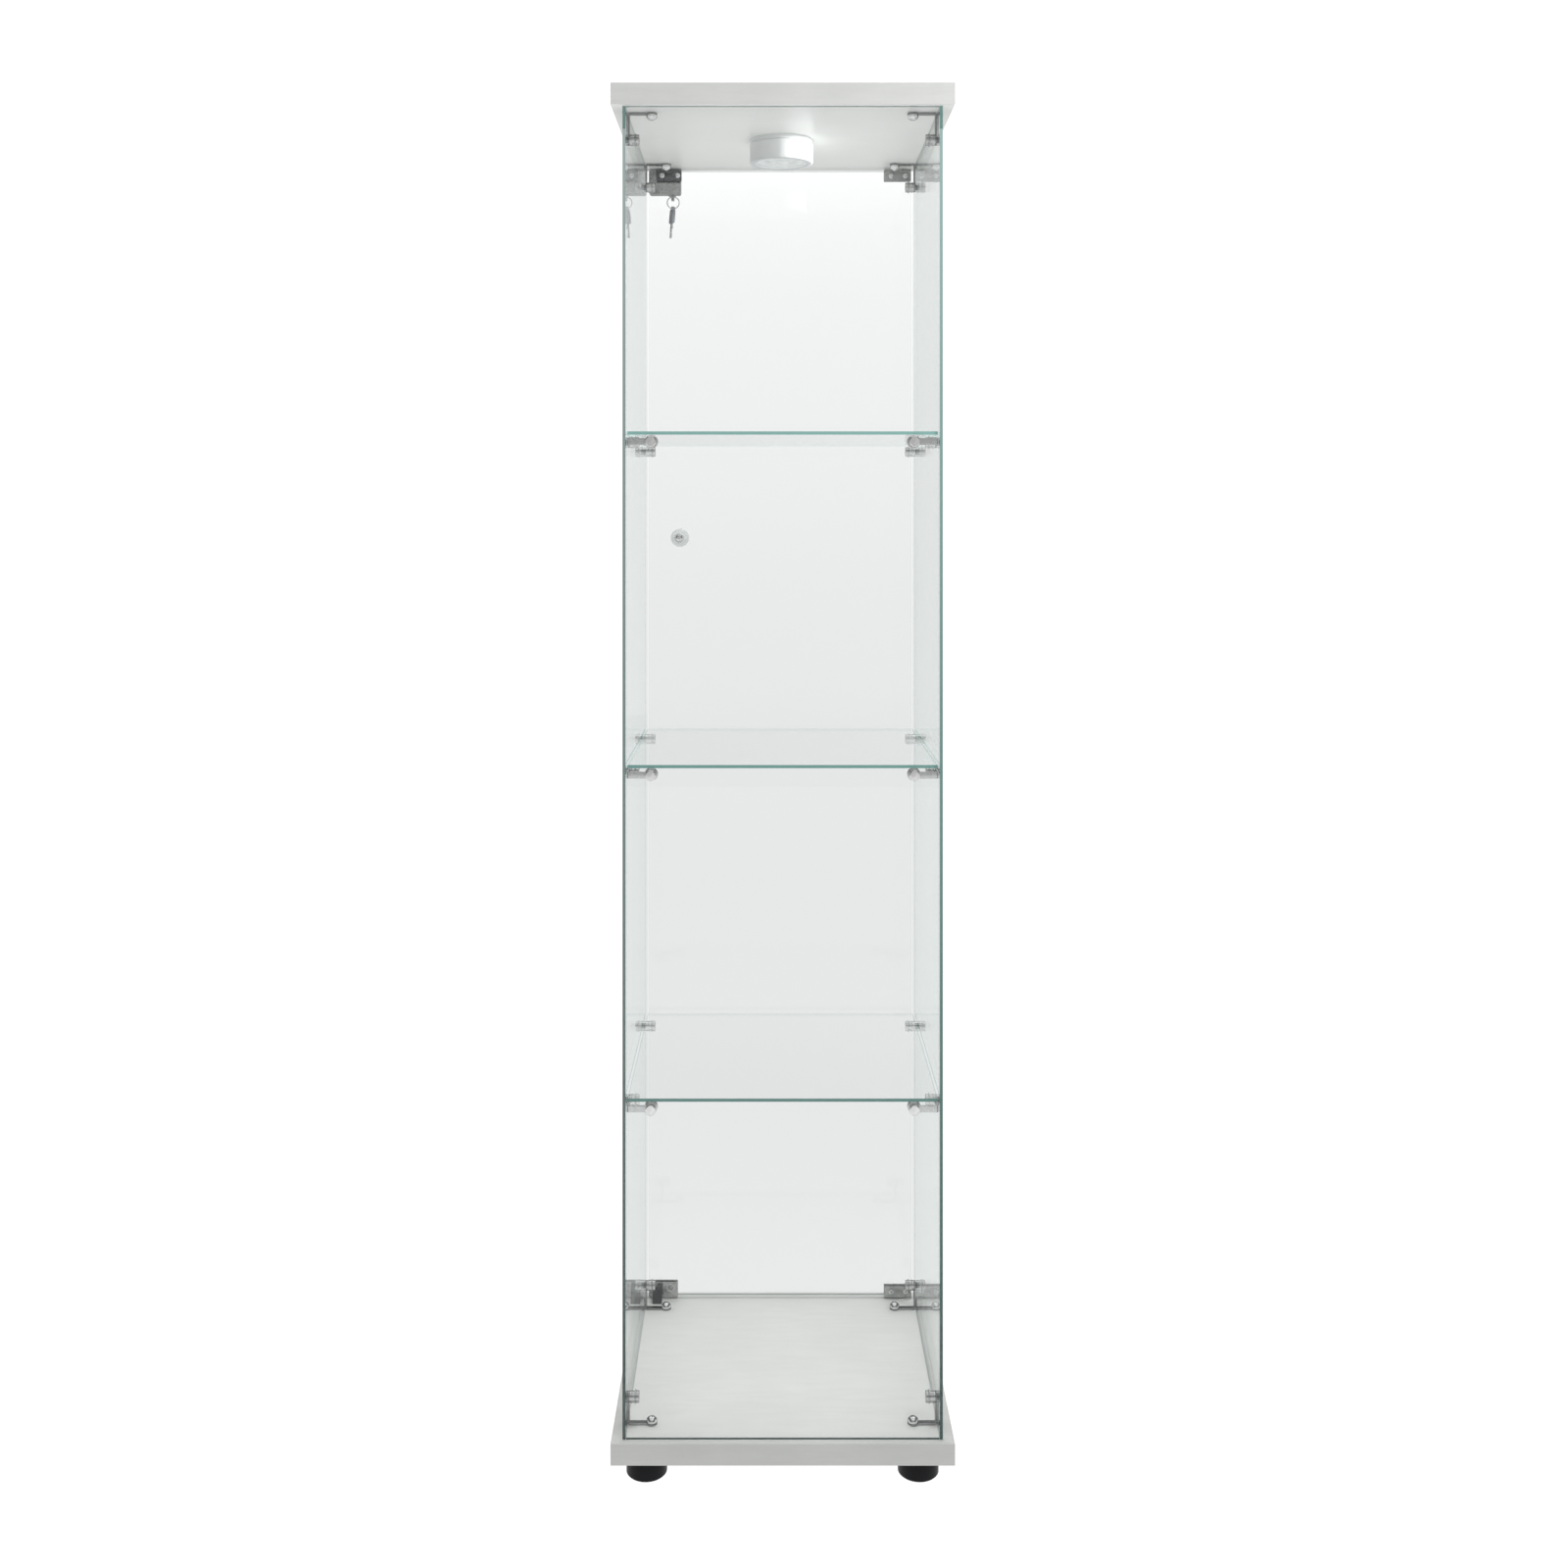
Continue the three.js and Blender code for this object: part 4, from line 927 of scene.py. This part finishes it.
case_y1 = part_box("lock_case")[1].y / MM
cyl_lo, cyl_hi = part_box("lock_cylinder")
key_x, key_z = (cyl_lo.x + cyl_hi.x) / 2, (cyl_lo.z + cyl_hi.z) / 2
c0, c1 = cyl_lo.y / MM, cyl_hi.y / MM
cylinder = lathe("cylinder", [(c0, 0), (c0, 5.5, 0.3), (case_y1 + 0.4, 5.5), (case_y1 + 0.4, 7.5, 0.2), (c1 - 1.6, 7.5, 0.3), (c1 - 1.4, 6.9, 0.2), (c1 - 0.2, 6.3, 0.6), (c1, 5.2, 0.3), (c1 - 0.35, 4.7, 0.2), (c1 - 0.35, 0)], 64)
slot_cut = raw("slot", [(x * MM, y * MM, z * MM) for z in (c0 + 1.0, c1 + 1) for x, y in ((-1.3, -3.7), (1.3, -3.7), (1.3, 3.7), (-1.3, 3.7))],
               [(0, 3, 2, 1), (4, 5, 6, 7), (0, 1, 5, 4), (1, 2, 6, 5), (2, 3, 7, 6), (3, 0, 4, 7)])
cylinder = finish_mesh(boolean(cylinder, [slot_cut], "DIFFERENCE"), 30)
# local Z is the world's Y; local Y stays vertical, so the keyway stands upright
place("lock_cylinder_barrel", cylinder, NICKEL, "lock_barrel", axes((key_x, 0, key_z), (-1, 0, 0), (0, 0, 1), (0, 1, 0)), "lock_cylinder")

# keys: drawn in (length, width), with the bow at the far end; raised through their thickness
key_lo, key_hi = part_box("door_key")
tip, end = key_lo.y / MM, key_hi.y / MM
bow0 = end - 23.5
half, arch, hole_y, hole_r, thick = (key_hi.z - key_lo.z) / MM / 2, 12.0, end - 5.5, 3.5, 3.6
outline = [(bow0, -half + 1.5), (bow0 + 0.4, -half + 0.5), (bow0 + 1.5, -half)]
outline += [(end - arch + arch * math.cos(a), half * math.sin(a)) for a in [-pi / 2 + k / 28 * pi for k in range(29)]]
outline += [(bow0 + 1.5, half), (bow0 + 0.4, half - 0.5), (bow0, half - 1.5)]
bow = prism("key_bow", outline, thick, holes=[circle(hole_y, 0, hole_r + 0.1, 40)], bevel=0.7, segments=3)
panel = prism("key_panel", rounded_rect(bow0 + 3.0, hole_y - hole_r - 2.2, -half + 2.8, half - 2.8, 2.4, 6), 1.0, bevel=0.0)
pits = []
for z in (-0.55, thick - 0.45):
    pit = panel.copy()
    pit.transform(Matrix.Translation((0, 0, z * MM)))
    pits.append(pit)
bow = finish_mesh(boolean(bow, pits, "DIFFERENCE"), 30)
bow.transform(Matrix.Translation((0, 0, -thick / 2 * MM)))
teeth = [(2.4, 3.3), (4, 1.9), (5.6, 2.7), (7.6, 1.4), (9.6, 2.5), (11.6, 1.7), (13.6, 3.3)]
blade_line = [(tip, 0.6), (tip + 1.4, -3.3), (bow0 + 1.0, -3.3), (bow0 + 1.0, 3.3)] + [(tip + a, b) for a, b in reversed(teeth)]
blade = prism("key_blade", blade_line, 2.0, bevel=0.18, segments=2)
grooves = []
for z in (-0.4, 1.6):
    g = prism("groove", rounded_rect(tip - 2, bow0 - 1.5, -1.4, -0.2, 0.2, 2), 0.8, bevel=0)
    g.transform(Matrix.Translation((0, 0, z * MM)))
    grooves.append(g)
blade = finish_mesh(boolean(blade, grooves, "DIFFERENCE"), 30)
blade.transform(Matrix.Translation((0, 0, -1.0 * MM)))
# (length, width, thickness) to the door key's place: length along +Y, width along +Z, thickness along +X
lock_key_at = axes((key_x, 0, key_z), (0, 1, 0), (0, 0, 1), (1, 0, 0))
place("door_key_bow", bow, KEY, "lock_barrel", lock_key_at, "door_key")
place("door_key_blade", blade, STEEL, "lock_barrel", lock_key_at, "door_key")

# the spare hangs on the ring: blade down, turned 19 degrees about its length and leaning 4 degrees
ring_lo, ring_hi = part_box("key_ring")
ring_c = (ring_lo + ring_hi) / 2
ring_R = 8.4
upright = Matrix.Rotation(math.radians(19), 4, "Z") @ Matrix.Rotation(pi / 2, 4, "X")
drop = -(ring_R - 0.7) + 0.45 + (end - (hole_y + hole_r)) - end
spare_at = Matrix.Translation(ring_c) @ Matrix.Rotation(math.radians(4), 4, "Y") @ Matrix.Translation((0, 0, drop * MM)) @ upright @ axes((0, 0, 0), (0, 1, 0), (0, 0, 1), (1, 0, 0))
place("spare_key_bow", bow, KEY, "hanging_key", spare_at, "spare_key")
place("spare_key_blade", blade, STEEL, "hanging_key", spare_at, "spare_key")


def split_ring(name, R, wire, turns=1.96, n=150, m=14):
    """Flat-wound double coil, lying in X-Z, with closed ends."""
    verts, faces = [], []
    total = 2 * pi * turns
    for i in range(n + 1):
        a = total * i / n + 0.6
        off = (i / n - 0.5) * wire * 2.02 * (turns / 2)
        c = Vector((R * math.cos(a), off, R * math.sin(a)))
        rad = Vector((math.cos(a), 0, math.sin(a)))
        for k in range(m):
            b = 2 * pi * k / m
            p = c + rad * (wire * 0.98 * math.cos(b)) + Vector((0, 1, 0)) * (wire * 0.5 * math.sin(b))
            verts.append(tuple(p * MM))
    for i in range(n):
        for k in range(m):
            j = (k + 1) % m
            faces.append((i * m + k, i * m + j, (i + 1) * m + j, (i + 1) * m + k))
    faces.append(tuple(reversed(range(m))))
    faces.append(tuple(range(n * m, n * m + m)))
    return finish_mesh(raw(name, verts, faces), 40)


place("key_ring_coil", split_ring("split_ring", ring_R, 0.68), STEEL, "ring_loop", Matrix.Translation(ring_c), "key_ring")

# ------------------------------------------------------------------ floor, light and camera

floor_me = raw("floor", [(-6, -5, -0.0004), (6, -5, -0.0004), (6, 7, -0.0004), (-6, 7, -0.0004)], [(0, 1, 2, 3)])
floor = bpy.data.objects.new("studio_floor", floor_me)
scene.collection.objects.link(floor)
m, t = material("studio_floor")
co = t.coords()


def backdrop(t):
    """Pure white straight on; seen through glass, a soft pale veil that is brightest at the top."""
    lp = t.nt.nodes.new("ShaderNodeLightPath")
    wy = t.xyz(t.nt.nodes.new("ShaderNodeTexCoord").outputs["Window"])[1]
    behind_glass = t.math("GREATER_THAN", lp.outputs["Transparent Depth"], 0.5)
    fade = t.grey(t.math("MULTIPLY", wy, 1.0), [(0.18, 0.905), (0.2125, 0.898), (0.25, 0.880), (0.30, 0.874), (0.44, 0.876), (0.50, 0.880), (0.56, 0.925), (0.625, 0.942), (0.6875, 0.974), (0.8125, 1.032), (0.85, 1.07), (0.875, 1.12), (0.89, 1.16)])
    return lp.outputs["Is Camera Ray"], t.mix(behind_glass, (1.1, 1.1, 1.1, 1), fade)


camera_ray, seen = backdrop(t)
lp = t.nt.nodes.new("ShaderNodeLightPath")
fy = t.xyz(co)[1]
# diffuse light from the floor: dimmer in front of the case than under and behind it
speck = t.math("MULTIPLY", t.grey(t.noise(40, 5, 0.6, coords=co), [(0.3, 0.97), (0.7, 1.03)]), t.grey(t.math("ADD", t.math("MULTIPLY", fy, 0.5), 0.5), [(0.0, 0.50), (0.36, 0.54), (0.52, 0.98), (1.0, 1.04)]))
bounce = t.mix(lp.outputs["Is Glossy Ray"], speck, (0.86, 0.87, 0.87, 1))
t.out(t.add("Emission", Color=t.mix(camera_ray, bounce, seen), Strength=1.0).outputs[0])
floor_me.materials.append(m)

world = bpy.data.worlds.new("studio")
scene.world = world
t = Tree(world)
dx, dy, dz = t.xyz(t.nt.nodes.new("ShaderNodeTexCoord").outputs["Generated"])
turn_y = t.math("ADD", t.math("MULTIPLY", dy, 0.5), 0.5)
back = t.grey(turn_y, [(0.0, 0.55), (0.36, 0.58), (0.5, 0.68), (0.62, 0.80), (1.0, 0.84)])
mirrored = t.grey(turn_y, [(0.0, 0.55), (0.36, 0.58), (0.5, 0.72), (0.62, 0.98), (1.0, 1.05)])
sidewise = t.grey(t.math("ADD", t.math("MULTIPLY", dx, 0.5), 0.5), [(0.0, 0.84), (0.42, 0.92), (0.56, 1.03), (1.0, 1.10)])
above = t.grey(dz, [(0.0, 0.96), (0.5, 0.98), (1.0, 1.0)])
env = t.mix(1.0, t.mix(1.0, back, sidewise, "MULTIPLY"), above, "MULTIPLY")
mirrored = t.mix(1.0, t.mix(1.0, mirrored, sidewise, "MULTIPLY"), above, "MULTIPLY")
flags = t.math("MULTIPLY", t.grey(t.math("ABSOLUTE", dx), [(0.0, 1.0), (0.42, 1.0), (0.56, 0.16), (0.80, 0.12), (0.93, 0.9), (1.0, 1.0)]),
               t.grey(dz, [(0.0, 1.0), (0.30, 1.0), (0.46, 0.22), (0.62, 0.16), (0.74, 1.3), (1.0, 1.4)]))
flagged = t.mix(1.0, mirrored, t.math("MULTIPLY", flags, t.grey(dy, [(0.90, 1.0), (0.97, 0.90)])), "MULTIPLY")
camera_ray, seen = backdrop(t)
lp = t.nt.nodes.new("ShaderNodeLightPath")
env = t.mix(lp.outputs["Is Glossy Ray"], env, flagged)
bg = t.add("Background", Color=t.mix(camera_ray, env, seen), Strength=1.0)
t.out(bg.outputs[0], world=True)


def area(name, loc, target, size, power, color=(1, 1, 1)):
    d = bpy.data.lights.new(name, "AREA")
    d.shape = "RECTANGLE"
    d.size, d.size_y = size
    d.energy = power
    d.color = color
    o = bpy.data.objects.new(name, d)
    scene.collection.objects.link(o)
    o.location = loc
    o.rotation_mode = "QUATERNION"
    o.rotation_quaternion = (Vector(target) - Vector(loc)).to_track_quat("-Z", "Y")
    o.visible_camera = False
    return o


for o in (area("key_right", (1.0, -1.1, 1.57), (0, -0.1, 1.6), (0.5, 0.5), 8.6), area("top_back", (0.0, 1.6, 3.2), (0, 0, 1.0), (2.0, 1.2), 4)):
    o.visible_glossy = False


def only(light, name, nodes):
    """Keeps a light to the named objects."""
    lit = bpy.data.collections.new(name)
    for n in nodes:
        lit.objects.link(bpy.data.objects[n] if n in bpy.data.objects else NODES[n])
    light.light_linking.receiver_collection = lit
    light.visible_glossy = False


# fills for the two faces that look into the case
only(area("roof_fill", (0.03, MID_Y - 0.16, 0.95), (0, MID_Y - 0.08, 1.7), (0.6, 0.6), 2.5), "roof_fill_lit", ["top_board"])
only(area("base_fill", (0, MID_Y + 0.10, 0.95), (0, MID_Y + 0.05, 0), (0.5, 0.5), 3.5), "base_fill_lit", ["base_board"])
# a hard light from the right that only the lamp's white housing takes
sun_data = bpy.data.lights.new("lamp_side_sun", "SUN")
sun_data.energy = 8
sun_data.angle = math.radians(2)
sun = bpy.data.objects.new("lamp_side_sun", sun_data)
scene.collection.objects.link(sun)
sun.rotation_mode = "QUATERNION"
sun.rotation_quaternion = Vector((-1.0, 0.10, -0.02)).to_track_quat("-Z", "Y")
only(sun, "lamp_lit", ["lamp_housing_shell", "lamp_mount_plate_body"])
# soft light from the lamp down the case
glow = area("lamp_glow", (0, MID_Y, ROOF - 0.034), (0, MID_Y, 0), (0.05, 0.05), 3.6)
glow.visible_glossy = False

cam_data = bpy.data.cameras.new("photo_camera")
cam = bpy.data.objects.new("photo_camera", cam_data)
scene.collection.objects.link(cam)
CAM = Vector((-0.019, -2.0495 + MID_Y, 1.1276))
cam.location = CAM
cam.rotation_euler = (pi / 2, 0, 0)
cam_data.sensor_width = 36
cam_data.lens = 36.94
cam_data.clip_start = 0.05
cam_data.clip_end = 60
# the lens shift belongs to this one viewpoint: from anywhere else it is zero
for prop, value in (("shift_x", 0.01125), ("shift_y", -0.17125)):
    d = cam_data.driver_add(prop).driver
    d.type = "SCRIPTED"
    for var, axis in (("y", "LOC_Y"), ("x", "LOC_X")):
        v = d.variables.new()
        v.name = var
        v.type = "TRANSFORMS"
        v.targets[0].id = cam
        v.targets[0].transform_type = axis
        v.targets[0].transform_space = "WORLD_SPACE"
    d.expression = f"{value} if abs(y - {CAM.y:.5f}) + abs(x + 0.019) < 0.001 else 0.0"
scene.camera = cam

scene.view_settings.view_transform = "Standard"
scene.view_settings.look = "None"
scene.view_settings.exposure = 0.0
scene.cycles.transparent_max_bounces = 64
scene.cycles.max_bounces = 10
scene.cycles.diffuse_bounces = 4
scene.cycles.glossy_bounces = 6
scene.cycles.caustics_reflective = False
scene.cycles.caustics_refractive = False
scene.cycles.sample_clamp_indirect = 4.0
scene.cycles.use_denoising = True

bpy.context.view_layer.update()
